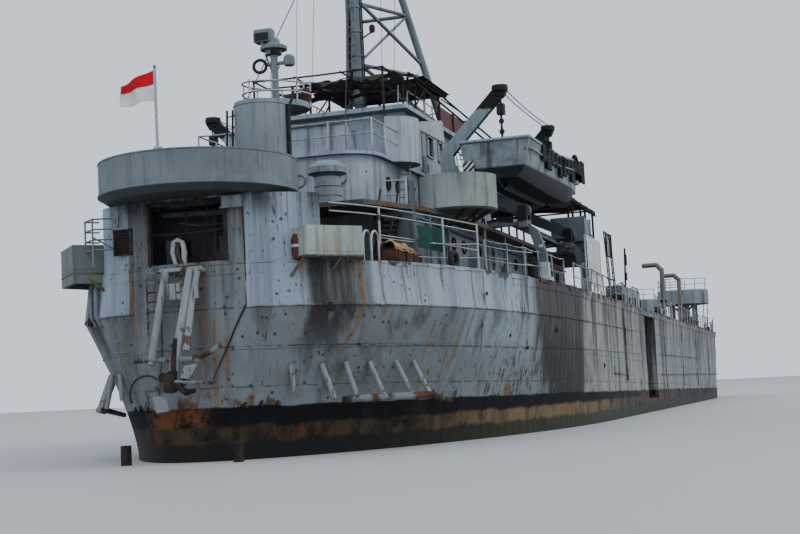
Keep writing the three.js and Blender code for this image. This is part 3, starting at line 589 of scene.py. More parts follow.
def hull_finish(look):
    f = Finish("hull_paint", 0.62)
    s, y, z = f.s, f.y, f.z
    broad = f.grain((0.14, 0.2, 0.32), 3.0, 0.5)
    patchy = f.grain((0.8, 1.0, 0.9), 6.0, 0.62, 5.0)
    fine = f.grain((8.0, 8.0, 7.0), 5.0, 0.7, 2.0)
    drips = f.grain((1.3, 1.5, 0.07), 6.0, 0.62, 1.0)
    thin = f.grain((6.0, 7.0, 0.20), 5.0, 0.65, 9.0)
    flecks = f.grain((9.0, 9.0, 2.2), 5.0, 0.7, 41.0)
    wander = f.grain((0.9, 0.9, 0.2), 3.0, 0.5, 12.0) - 0.5
    paint = tuple(look.paint)
    f.skin = f.blend(f.between(broad, 0.36, 0.64), shade(paint, 0.84), shade(paint, 1.06))
    f.lay(f.between(patchy, 0.46, 0.64) * 0.5, shade(paint, 1.22))

    # Strips of newer paint above the knuckle and along the side
    above = f.between(z, KNUCKLE - 0.03, KNUCKLE + 0.03)
    sides = f.between(f.sum("ABSOLUTE", y), 1.78, 1.84)
    abaft = above * sides * f.between(s, 14.6, 13.8)
    under_bin = f.band(s, 2.5, 4.15, 0.12) * f.between(z, 7.8, 7.7) * f.between(z, 4.6, 6.4)
    f.cover(abaft * (0.9 - 0.75 * under_bin), 146, 160, 171)
    port_strip = f.band(y + wander * 0.1, 2.45, 3.1, 0.05) * f.between(z, 6.5, 6.9)
    f.cover(port_strip * 0.8, 150, 166, 178)
    fresh = f.band(s + wander, 8.9, 14.6, 0.25) * (1.0 - above)
    f.cover(fresh * f.between(z, 4.6, 5.6) * 0.8, 130, 143, 152)
    cream = f.band(s + wander * 2.0, 22.4, 46.0, 0.5)
    f.lay(cream * f.between(patchy, 0.3, 0.6) * 0.9, tuple(look.pale))
    bow_part = f.between(s, 44.0, 48.0)
    f.cover(bow_part * 0.6, 131, 134, 130)

    # Dirt and dark drips from the deck edge
    fall = f.between(z, 3.4, 7.6)
    dirty = f.between(drips + fall * 0.10, 0.52, 0.68) * (1.0 - 0.55 * abaft)
    f.tint(dirty * (0.45 + 0.3 * cream + 0.2 * bow_part), 112, 106, 98)
    f.tint(under_bin * f.between(drips, 0.35, 0.6), 130, 120, 112)
    black = f.between(thin + drips * 0.6 + fall * 0.08, 0.86, 0.98) * (0.25 + 0.75 * f.between(s, 10.0, 13.5))
    f.cover(black * 0.8, 50, 47, 46)
    marks = f.between(flecks + dirty * 0.04 + patchy * 0.2, 0.72, 0.77) * f.between(z, 3.8, 4.2)
    f.cover(marks * 0.8, 50, 48, 45)
    speck = f.grain((5.0, 5.0, 1.6), 5.0, 0.7, 21.0)
    drip_low = f.between(z, 6.4, 4.2) * f.band(s, 10.5, 24.0, 1.5)
    f.cover(f.between(speck + drip_low * 0.12, 0.62, 0.70) * drip_low, 58, 53, 50)

    # The long dark stain abreast the boats, and strong drips at some frames
    edge = s + wander * 1.6 + (drips - 0.5) * 2.2
    low_shift = f.between(z, 6.4, 3.4) * 1.8
    stain = f.between(edge - low_shift, 14.5, 15.4) * f.between(edge, 22.6, 21.8)
    sooty = f.blend(f.between(z + wander, 4.9, 6.1), tuple(look.stain), tone(80, 71, 68))
    stain_tone = f.blend(f.between(thin + drips * 0.4, 0.6, 0.78), sooty, shade(tuple(look.stain), 0.5))
    stain_tone = f.blend(f.between(thin - drips * 0.3, 0.38, 0.48) * above * 0.5, stain_tone,
                         tone(118, 110, 106))
    f.lay(stain * 0.97, f.multiplied(stain_tone, 0.45, tone(110, 106, 102)))
    dark_runs = 0.0
    for where, wide, low in ((9.82, 0.035, 4.4), (13.1, 0.03, 4.0), (24.1, 0.2, 3.6), (28.6, 0.22, 3.6),
                             (34.2, 0.1, 3.6), (52.3, 0.12, 3.4), (64.0, 0.1, 3.4), (71.5, 0.14, 3.4)):
        dark_runs = dark_runs + f.band(s + wander * 0.35, where - wide, where + wide,
                                       0.06) * f.between(z, low, low + 1.2)
    broken = f.between(f.grain((2.0, 2.0, 1.1), 4.0, 0.6, 66.0), 0.38, 0.5)
    f.cover(f.clipped(dark_runs) * broken * 0.85, 50, 47, 45)

    # Rust: ochre runs below the deck edge, patches low down and round the seams
    rust_tone = f.blend(f.between(fine, 0.35, 0.65), shade(tuple(look.rust), 0.45), tuple(look.rust))
    olive = f.blend(f.between(z, 6.6, 6.2) * f.between(s, 5.0, 7.0), tone(122, 92, 52), tone(112, 104, 62))
    ochre_tone = f.blend(f.between(fine + patchy * 0.4, 0.5, 0.8), tone(78, 58, 40), olive)
    ochre_runs = 0.0
    for where, wide, high, low in ((2.37, 0.05, 7.75, 5.8), (3.82, 0.06, 7.7, 4.9), (4.5, 0.04, 7.7, 6.0),
                                   (5.34, 0.05, 7.7, 6.3), (6.05, 0.035, 7.7, 5.4), (9.05, 0.055, 7.7, 5.2),
                                   (8.55, 0.1, 6.3, 4.2), (8.1, 0.07, 6.2, 4.0), (6.9, 0.06, 6.0, 4.6)):
        soft = f.between(z, low - 0.4, low + 0.7) * f.between(z, high + 0.05, high - 0.05)
        ochre_runs = ochre_runs + f.band(s + wander * 0.3 + (drips - 0.5) * 0.3, where - wide, where + wide,
                                         0.05) * soft
    for where, wide, high, low in ((-0.5, 0.05, 7.6, 4.3), (-0.8, 0.07, 6.4, 3.6), (-0.25, 0.03, 7.5, 5.6),
                                   (-1.15, 0.05, 5.6, 4.0), (0.95, 0.08, 4.4, 3.4)):
        soft = f.between(z, low - 0.3, low + 0.6) * f.between(z, high + 0.05,
                                                              high - 0.05) * f.between(s, 2.3, 1.9)
        ochre_runs = ochre_runs + f.band(y + wander * 0.2, where - wide, where + wide, 0.04) * soft
    worn = f.between(f.grain((3.0, 3.0, 0.5), 5.0, 0.65, 81.0), 0.34, 0.56)
    f.lay(f.clipped(ochre_runs) * worn * look.streaks, ochre_tone)
    runs = f.grain((2.6, 2.8, 0.13), 6.0, 0.62, 31.0)
    run_mask = f.between(runs + f.between(z, 4.4, 7.7) * 0.09, 0.66, 0.74)
    f.lay(run_mask * look.streaks * 0.75, f.blend(f.between(patchy, 0.4, 0.6), rust_tone, ochre_tone))
    ochre = f.between(f.grain((1.6, 1.8, 0.22), 5.0, 0.6, 44.0), 0.56, 0.68) * f.between(s, 12.0, 4.0)
    f.cover(ochre * f.between(z, 6.5, 6.2) * 0.45 * look.streaks, 104, 94, 62)
    low_rust = f.between(f.grain((1.4, 1.4, 0.9), 6.0, 0.66, 51.0) + f.between(z, 5.0, 3.6) * 0.12, 0.68,
                         0.73)
    f.lay(low_rust * 0.85, f.blend(f.between(patchy, 0.42, 0.6), tone(60, 48, 38), ochre_tone))
    seams = f.band(z, 6.37, 6.41, 0.02) + f.band(z + s * 0.012, 5.3, 5.34, 0.02)
    seams = f.clipped(seams + f.band(z + s * 0.012, 4.19, 4.23,
                                     0.02) + f.band(z, 7.6, 7.625, 0.015) * f.between(s, 4.2, 3.8))
    blobs = f.grain((3.0, 3.0, 3.0), 3.0, 0.6, 61.0)
    f.cover(seams * f.between(blobs, 0.40, 0.6) * 0.8, 50, 48, 46)
    butts = f.lines(s, 2.44, 0.035) * f.between(s, 3.4, 4.4)
    f.cover(butts * f.between(patchy, 0.4, 0.6) * 0.5, 64, 62, 60)
    pits = f.pits((3.3, 3.3, 3.3), 0.2, 3.0) * f.between(blobs, 0.42, 0.5) * f.between(s, 10.0, 6.0)
    large = f.pits((1.5, 1.5, 1.5), 0.13, 8.0) * f.between(blobs, 0.5, 0.54) * f.between(s, 12.0, 8.0)
    f.cover(f.clipped(pits + large) * 0.85, 42, 40, 39)
    notches = f.between(z + patchy * 1.5 + fine * 0.25, 8.47, 8.55) * f.between(z, 7.69, 7.675)
    f.cover(notches * f.between(s, 3.4, 4.4) * 0.9, 54, 42, 35)
    # Painted shade: the shallow recess in the side between s 40.6 and 44.8 is darkened.
    recess = f.band(s, 40.6, 44.8, 0.02) * f.between(f.sum("ABSOLUTE", y), 7.4, 7.2)
    f.tint(recess * 0.8, 70, 70, 66)
    shadowed = f.between(z, 8.6, 9.6) * f.between(s, 4.4, 2.6)
    f.tint(shadowed * f.between(drips + patchy * 0.5, 0.6, 0.9), 120, 116, 112)

    # Boot topping, the rusty band under it and weed at the water
    rise = z - (3.68 - s * 0.0075) + wander * 0.16
    boot = f.between(rise, 0.035, -0.035)
    orange = f.band(y + wander * 0.8, -0.45, 1.5, 0.4) * f.between(s, 3.0, 2.4) * f.between(z, 2.7, 3.2)
    boot_tone = f.blend(f.between(patchy, 0.55, 0.72), tuple(look.boot), tone(34, 29, 27))
    boot_tone = f.blend(orange * f.between(fine + patchy, 0.8, 1.1), boot_tone, tone(98, 60, 36))
    boot_tone = f.blend(f.between(s, 24.0, 48.0) * f.between(runs, 0.4, 0.55), boot_tone, tone(74, 68, 62))
    f.lay(boot, boot_tone)
    band_top = z + wander * 0.34
    rusty = f.between(band_top, 3.2, 3.04) * f.between(s, 60.0, 45.0)
    mottle = f.grain((1.8, 1.9, 0.9), 6.0, 0.7, 71.0)
    ochre_part = f.blend(f.between(s, 6.0, 14.0), tone(66, 54, 38), tone(110, 94, 66))
    ochre_part = f.blend(f.between(s, 21.0, 34.0), ochre_part, tone(74, 69, 62))
    band_tone = f.blend(f.between(mottle + f.between(s, 6.0, 14.0) * 0.1, 0.36, 0.6), tone(32, 28, 25),
                        ochre_part)
    band_tone = f.blend(f.between(drips, 0.5, 0.62) * 0.6, band_tone, tone(40, 35, 30))
    band_tone = f.blend(f.between(runs, 0.58, 0.66) * 0.7, band_tone, tone(88, 50, 28))
    f.lay(rusty * f.between(f.grain((0.5, 0.5, 1.2), 4.0, 0.6, 75.0), 0.30, 0.46), band_tone)
    wet = f.between(z + wander * 0.4, 2.74, 2.6)
    f.lay(wet * 0.92, f.blend(f.between(s, 9.0, 14.0), tone(18, 18, 17), tone(32, 38, 22)))

    dished = f.sum("COSINE", s * (2 * math.pi / 0.61)) * 0.35 + f.sum("COSINE",
                                                                      s * (2 * math.pi / 2.44)) * 0.4
    height = dished * f.between(s, 3.0, 5.0) + broad * 2.0 + patchy * 0.5 + fine * 0.16
    height = height - seams * 0.5 - f.clipped(pits + large) * 0.5 - f.clipped(low_rust + rusty) * fine * 0.5
    rough = 0.6 + 0.26 * f.clipped(run_mask + low_rust + rusty + boot) - wet * 0.2
    return f.paint(rough, height, 0.012)


def painted(name, base, rust=0.35, grime=0.45, roughness=0.6, depth=0.006, tip=None, port=None, ochre=0.0):
    """Weathered ship paint: mottled, with dirty drips, chips and rust, and grime with painted shade on faces
    that look down; black above a tip's height and darker well below it.
    """
    f = Finish(name, roughness)
    broad = f.grain((0.4, 0.4, 0.5), 3.0, 0.5, 1.7)
    patchy = f.grain((1.7, 1.7, 1.7), 6.0, 0.64, 8.0)
    fine = f.grain((12.0, 12.0, 12.0), 4.0, 0.7, 4.0)
    drips = f.grain((3.2, 3.2, 0.22), 5.0, 0.62, 2.2)
    thin = f.grain((9.0, 9.0, 0.45), 4.0, 0.6, 6.0)
    wall = f.between(f.sum("ABSOLUTE", f.up), 0.7, 0.4)
    f.skin = f.blend(f.between(broad, 0.34, 0.66), shade(base, 0.86), shade(base, 1.12))
    f.lay(f.between(patchy, 0.5, 0.62) * 0.4, shade(base, 1.28))
    f.tint(f.between(drips, 0.5, 0.68) * wall * grime, 120, 110, 100)
    f.tint(f.between(thin, 0.58, 0.7) * wall * grime, 110, 96, 84)
    chips = f.between(patchy + fine * 0.16, 0.80 - 0.14 * rust, 0.83 - 0.14 * rust)
    marks = f.between(f.grain((8.0, 8.0, 2.6), 5.0, 0.7, 27.0), 0.70 - 0.05 * grime, 0.74 - 0.05 * grime)
    f.cover(marks * 0.75, 54, 52, 50)
    runs = f.between(f.grain((4.2, 4.2, 0.3), 5.0, 0.62, 15.0), 0.76 - 0.12 * rust, 0.82 - 0.12 * rust) * wall
    rust_tone = f.blend(f.between(fine, 0.35, 0.65), tone(50, 37, 31), tone(106, 70, 44))
    f.lay(runs * 0.75, rust_tone)
    f.lay(chips * 0.9, rust_tone)
    # Faces that look down are darkened: partly grime, partly painted shade.
    f.tint(f.between(f.up, -0.25, -0.6) * 0.8, 92, 86, 80)
    if ochre:
        stains = f.between(f.grain((3.0, 3.0, 0.35), 5.0, 0.6, 33.0), 0.56, 0.7) * ochre
        f.cover(stains * f.between(f.y, 0.1, -0.1), 142, 112, 62)
    if port:
        f.skin = f.multiplied(f.skin, f.between(f.y, -0.1, 0.1), port)
    # Black above the tip; on the davit frames (tip 9.95) this black is painted shadow under the boats and the
    # canopy. Well below the tip the paint is darker.
    if tip:
        f.cover(f.between(f.z + patchy * 0.4, tip + 0.17, tip + 0.23), 24, 24, 26)
        f.tint(f.between(f.z, tip - 2.4, tip - 3.1) * 0.8, 84, 84, 90)
    height = patchy * 0.5 + broad + fine * 0.12 - chips * 0.35
    return f.paint(roughness + 0.22 * f.clipped(chips + runs), height, depth)


def rusty(name, dark=(36, 29, 26), light=(92, 62, 42), remains=None, depth=0.012):
    """Bare rusted steel, with what is left of its paint."""
    f = Finish(name, 0.88)
    patchy = f.grain((1.8, 1.8, 1.8), 6.0, 0.66, 3.0)
    fine = f.grain((14.0, 14.0, 14.0), 4.0, 0.7)
    f.skin = f.blend(f.between(patchy + fine * 0.3, 0.45, 0.85), tone(*dark), tone(*light))
    if remains:
        left = f.between(f.grain((1.2, 1.2, 0.8), 6.0, 0.64, 19.0), 0.44, 0.54)
        f.lay(left * 0.9, tone(*remains))
    return f.paint(None, patchy + fine * 0.3, depth)


def deck_finish(base):
    f = Finish("deck_paint", 0.85)
    patchy = f.grain((0.7, 0.7, 0.7), 7.0, 0.66, 3.0)
    fine = f.grain((7.0, 7.0, 7.0), 4.0, 0.7)
    worn = f.between(patchy, 0.47, 0.6)
    rust = f.blend(f.between(fine, 0.35, 0.65), tone(72, 52, 40), tone(126, 88, 58))
    f.skin = f.blend(f.between(fine, 0.3, 0.7), shade(base, 0.8), shade(base, 1.15))
    f.lay(worn * 0.8, rust)
    seams = f.clipped(f.lines(f.s, 6.1, 0.03) + f.lines(f.y, 1.83, 0.025))
    f.cover(seams * 0.6, 60, 52, 46)
    edge = f.between(f.z + patchy * 0.25, 7.64, 7.5)
    f.cover(edge * 0.85, 58, 46, 38)
    return f.paint(None, patchy + fine * 0.2 + seams * 0.4, 0.008)


def cloth_finish(name, base, dirt=0.5, weave=40.0):
    f = Finish(name, 0.92)
    patchy = f.grain((1.1, 1.1, 1.1), 6.0, 0.62, 2.0)
    threads = f.sum("SINE", f.s * weave) * f.sum("SINE", (f.y + f.z) * weave)
    f.skin = f.blend(f.between(patchy, 0.35, 0.65), shade(base, 1.0 - dirt * 0.5),
                     shade(base, 1.0 + dirt * 0.3))
    f.skin = f.multiplied(f.skin, f.clipped(threads * 0.3 + 0.3) * 0.4, (0.55, 0.55, 0.55))
    return f.paint(None, threads * 0.3 + patchy, 0.01)


def flag_finish():
    """Red over white, with the weave and grime of a worn flag."""
    f = Finish("flag_cloth", 0.9)
    threads = f.sum("SINE", f.y * 160.0) * f.sum("SINE", f.z * 160.0)
    dirt = f.grain((3.0, 3.0, 3.0), 5.0, 0.6)
    hang = f.z + (f.y - 0.1) * 0.18
    f.skin = f.blend(f.between(hang, 12.56, 12.58), tone(226, 222, 220), tone(196, 28, 40))
    f.tint(f.between(dirt, 0.4, 0.7) * 0.35, 150, 140, 130)
    return f.paint(None, threads * 0.4 + dirt, 0.006)


def plain_wear(name, base, roughness, metallic=0.0, spread=0.25, scale=6.0, depth=0.003):
    """A worn surface of one colour: rubber, glass, bronze, wire."""
    f = Finish(name, roughness, metallic)
    patchy = f.grain((scale, scale, scale), 5.0, 0.62, 7.0)
    f.skin = f.blend(f.between(patchy, 0.3, 0.7), shade(base, 1 - spread), shade(base, 1 + spread))
    return f.paint(roughness + (patchy - 0.5) * 0.2, patchy, depth)


def boat_finish():
    """Grey topsides over a black bottom."""
    f = Finish("boat_paint", 0.6)
    patchy = f.grain((1.3, 1.3, 1.6), 6.0, 0.64)
    fine = f.grain((11.0, 11.0, 11.0), 4.0, 0.7)
    drips = f.grain((4.0, 4.0, 0.4), 5.0, 0.62, 5.0)
    f.skin = f.blend(f.between(patchy, 0.35, 0.65), tone(96, 108, 114), tone(132, 142, 144))
    f.tint(f.between(drips, 0.48, 0.66) * 0.7, 104, 96, 88)
    line = 11.86 + 0.03 * (f.s - 15.0)
    under = f.between(f.z, line + 0.05, line - 0.05)
    f.lay(under, f.blend(f.between(patchy, 0.4, 0.6), tone(14, 15, 18), tone(26, 26, 28)))
    chips = f.between(patchy + fine * 0.2, 0.72, 0.76)
    f.cover(chips * 0.8, 96, 68, 48)
    return f.paint(0.58 + 0.2 * chips, patchy + fine * 0.15, 0.006)


def hazard_finish():
    """Slanting white and black bands on a fender."""
    f = Finish("hazard_bands", 0.7)
    slant = f.sum("PINGPONG", f.y + f.z, 0.11)
    worn = f.grain((5.0, 5.0, 5.0), 5.0, 0.65)
    f.skin = f.blend(f.between(slant, 0.05, 0.06), tone(38, 38, 38), tone(214, 212, 202))
    f.tint(f.between(worn, 0.4, 0.65) * 0.6, 130, 120, 108)
    return f.paint(None, worn, 0.004)


FINISHES = {}


def make_finishes(scene):
    hull, deck = scene.hull_look, scene.deck_look
    house = tuple(deck.house)
    FINISHES.update({
        "hull": hull_finish(hull),
        "house": painted("house_paint", house, 0.35, 0.5),
        "pale": painted("pale_paint", shade(house, 1.25), 0.25, 0.4),
        # The main deckhouse's paint, 0.78 of the houses', is painted shade under the boat deck's overhang.
        "wall": painted("deckhouse_paint_in_shade", shade(house, 0.78), 0.35, 0.5),
        "bridge": painted("bridge_paint", tone(153, 165, 174), 0.3, 0.5),
        "platform": painted("platform_paint", tone(146, 156, 150), 0.35, 0.5, port=(0.42, 0.42, 0.42),
                            ochre=0.8),
        "tub": painted("tub_paint", tone(106, 114, 118), 0.1, 0.28),
        "mast": painted("mast_paint", tuple(deck.mast), 0.3, 0.35),
        "davit": painted("davit_paint", shade(tuple(deck.mast), 1.35), 0.3, 0.35, tip=14.3),
        "green": painted("green_paint", tuple(deck.green), 0.3, 0.5),
        "white": painted("white_paint", tone(168, 172, 172), 0.55, 0.45),
        "worn": painted("worn_pale_paint", tone(138, 142, 142), 0.9, 0.9),
        "deck": deck_finish(tuple(deck.deck)),
        "rust": rusty("rusty_steel"),
        "scaled": rusty("scaled_paint", remains=(116, 126, 130)),
        # Davit frames: the dark grey is partly paint, partly painted shade, and the black above 9.95 is
        # painted shadow under the boats and the canopy.
        "frame": painted("davit_frame_paint_and_shadow", tone(84, 92, 96), 0.4, 0.7, tip=9.95),
        "pipe": painted("pipe_paint", tone(108, 104, 102), 0.5, 0.6),
        "lip": rusty("rusty_lip", (58, 44, 32), (128, 104, 62), (96, 96, 84)),
        "bottom": rusty("bottom_paint", (34, 26, 24), (84, 46, 34), (40, 38, 36)),
        "dark": rusty("dark_steel", (28, 26, 26), (62, 52, 46)),
        # Black paint; on the hull discharges' plugs the black is painted shade inside the pipes.
        "black": plain_wear("black_paint_and_hole_shade", tone(34, 35, 36), 0.6),
        "inside": plain_wear("shadowed_inside", tone(66, 66, 70), 0.9),
        "bronze": plain_wear("bronze", tone(134, 112, 72), 0.42, 0.9),
        "rubber": plain_wear("rubber", tone(28, 28, 29), 0.85),
        "glass": plain_wear("window_glass", tone(30, 36, 40), 0.12, 0.0, 0.15, 2.0, 0.0005),
        "wire": plain_wear("wire", tone(58, 56, 54), 0.7),
        "tarp": cloth_finish("awning_cloth", tone(50, 46, 42)),
        "sheet": cloth_finish("white_sheet", tone(196, 200, 198), 0.3),
        "canvas": cloth_finish("canvas", tone(158, 128, 94), 0.4),
        "net": cloth_finish("green_cloth", tone(30, 68, 58), 0.5),
        "redbrown": painted("redbrown_paint", tone(84, 42, 38), 0.4, 0.4),
        "boat": boat_finish(),
        "hazard": hazard_finish(),
        "flag": flag_finish(),
    })


# Shell plating

SHELL_LEVELS = [2.1, 2.4, 2.7, 3.0, 3.3, 3.6, 3.9, 4.2, 4.5, 4.8, 5.1, 5.4, 5.7, 6.0, 6.25, 6.4, 6.55, 6.8,
                7.05, 7.25, 7.367]


def dented(plan, z, depth):
    """A plan's points moved in and out as old plating is between its frames."""
    moved = []
    for i, (s, y) in enumerate(plan):
        (s0, y0), (s1, y1) = plan[max(i - 1, 0)], plan[min(i + 1, len(plan) - 1)]
        ds, dy = s1 - s0, y1 - y0
        length = math.hypot(ds, dy) or 1.0
        fade = min(1.0, (z - FLOOR) / 0.5, (SIDE_TOP - z) / 0.4) if FLOOR < z < SIDE_TOP else 0.0
        push = noise.noise(Vector((s * 0.55, z * 0.9, math.copysign(9.0, y)))) * depth
        push += noise.noise(Vector((s * 1.6, z * 1.9, math.copysign(4.0, y)))) * depth * 0.5
        push = max(0.0, fade) * (push - depth * 0.3)
        moved.append((s + dy / length * push, y - ds / length * push, z))
    return moved


def side_plan(s0, s1, z, step):
    count = max(2, round((s1 - s0) / step) + 1)
    stations = [s0 + (s1 - s0) * i / (count - 1) for i in range(count)]
    return [(s, -half_breadth(s, z)) for s in stations]


class SHIP_OT_stern_shell(bpy.types.Operator):
    """Plates the stern from the tank deck to the main deck"""

    bl_idname = "landing_ship.stern_shell"
    bl_label = "Stern shell"

    def execute(self, context):
        look = context.scene.hull_look
        form = Form().loft([dented(stern_plan(z, STERN_BLOCK_END, 46), z, look.dents) for z in SHELL_LEVELS])
        make("stern_shell", form, "hull", replaces=("hull_stern",), sharp=11)
        return {"FINISHED"}


class SHIP_OT_side_shell(bpy.types.Operator):
    """Plates both sides abreast the tank deck, with their shallow recess"""

    bl_idname = "landing_ship.side_shell"
    bl_label = "Side shell"

    def execute(self, context):
        look = context.scene.hull_look
        low, aft, fore, inner = 2.9, 40.6, 44.8, -HALF_BEAM + 0.55
        first, last, middle = STERN_BLOCK_END + GAP, BOW_BLOCK_START - GAP, -4.6
        loops = []
        levels = [z for z in SHELL_LEVELS if z < low] + [low,
                                                         low + 0.001] + [z for z in SHELL_LEVELS if z > low]
        for z in levels:
            cut = inner if z > low else -HALF_BEAM
            plan = dented(side_plan(first, aft, z, 0.55), z, look.dents)
            plan[-1] = (aft, -HALF_BEAM, z)
            plan += [(aft + 0.001, cut, z), (fore - 0.001, cut, z)]
            ahead = dented(side_plan(fore, last, z, 0.6), z, look.dents)
            ahead[0] = (fore, -HALF_BEAM, z)
            loops.append(plan + ahead + [(last, middle, z), (first, middle, z)])
        both_sides("side_shell", Form().loft(loops), "hull", replaces=("hull_side_{side}",), sharp=11)
        return {"FINISHED"}


class SHIP_OT_bow_shell(bpy.types.Operator):
    """Plates the bow blocks and the two doors between them"""

    bl_idname = "landing_ship.bow_shell"
    bl_label = "Bow shell and doors"

    def execute(self, context):
        look = context.scene.hull_look
        hinge_y, levels, thick = DOOR_HINGE, (2.9, 4.8, 6.8), 0.1
        block = Form()
        inside = [(94.9, -2.35), (92.5, -2.35), (BOW_BLOCK_START, -4.6)]
        block.loft([dented(side_plan(BOW_BLOCK_START, 94.9, z, 0.4), z, look.dents)
                    + [(s, y, z) for s, y in inside] for z in SHELL_LEVELS])
        for z in levels:
            block.box((94.6, 94.95), (hinge_y - 0.1, -half_breadth(94.8, z) + 0.2), (z, z + thick))
            block.box((94.6, 95.05), (hinge_y - 0.1, -half_breadth(95.0, z) - 0.07), (z, z + thick))
        block.add(block.mirrored())
        block.box((92.5, 94.3), (-2.45, 2.45), (FLOOR, FLOOR + 0.2))
        make("bow_shell", block, "hull", replaces=("hull_bow",), sharp=14)

        door = Form()
        start, wall, low, high = 95.02, 0.28, 2.25, SIDE_TOP - 0.12
        stations = [start + (99.93 - start) * math.sin(math.pi / 2 * i / 22) for i in range(23)]
        loops = []
        for z in [low + (high - low) * i / 12 for i in range(13)]:
            rake = mix(0.985, 1.0, (z - low) / 3)
            outer = [(start + (s - start) * rake, -half_breadth(s, z)) for s in stations]
            outer.append((start + (LENGTH - 0.02 - start) * rake, -CLEAR))
            inner = [(max(start, s - wall * (s - start) / (LENGTH - start)), min(-CLEAR, y + wall * 1.4))
                     for s, y in outer[:-1]][::-1]
            inner[0] = (start + (99.6 - start) * rake, -CLEAR)
            loops.append([(s, y, z) for s, y in outer + inner])
        door.loft(loops)
        for z in levels:
            rise = z + thick + GAP
            door.box((start + 0.02, 95.5), (hinge_y - 0.1, -half_breadth(95.3, rise) + 0.15),
                     (rise, rise + thick))
            door.box((94.92, 95.5), (hinge_y - 0.1, -half_breadth(95.0, rise) - 0.12), (rise, rise + thick))
        both_sides("bow_door_shell", door, "hull", body="bow_door_{side}",
                   replaces=("bow_door_{side}",), sharp=14)
        return {"FINISHED"}


class SHIP_OT_bottom(bpy.types.Operator):
    """The bottom with its rounded bilge, and the finishes of what hangs under it"""

    bl_idname = "landing_ship.bottom"
    bl_label = "Bottom and running gear"

    def execute(self, context):
        ends = [(0.0, 19.5, 88.0), (0.45, 17.2, 90.0), (1.2, 13.2, 92.4), (FLOOR - GAP, 8.5, 94.3)]
        loops = []
        for i in range(15):
            z = ends[-1][0] * i / 14
            k = max(j for j in range(3) if ends[j][0] <= z + 1e-6)
            t = (z - ends[k][0]) / (ends[k + 1][0] - ends[k][0])
            aft, fore = (mix(ends[k][j], ends[k + 1][j], t) for j in (1, 2))
            inset = 0.45 * max(0.0, 1 - z / 1.0) ** 2.2
            half = []
            for n in range(41):
                s = aft + (fore - aft) * (0.5 - 0.5 * math.cos(math.pi * n / 40))
                half.append((s, half_breadth(s, max(z, FLOOR)) - inset))
            loops.append([(s, y, z) for s, y in half[::-1]] + [(s, -y, z) for s, y in half])
        make("bottom_shell", Form().loft(loops), "bottom", replaces=("hull_bottom",), sharp=20)
        finish_nodes("bottom", [f"skeg_{side}" for side in SIDES], 0.03)
        finish_nodes("bronze", [f"propeller_{side}" for side in SIDES], 0.015)
        finish_nodes("dark", [f"rudder_{side}" for side in SIDES], 0.02)
        return {"FINISHED"}


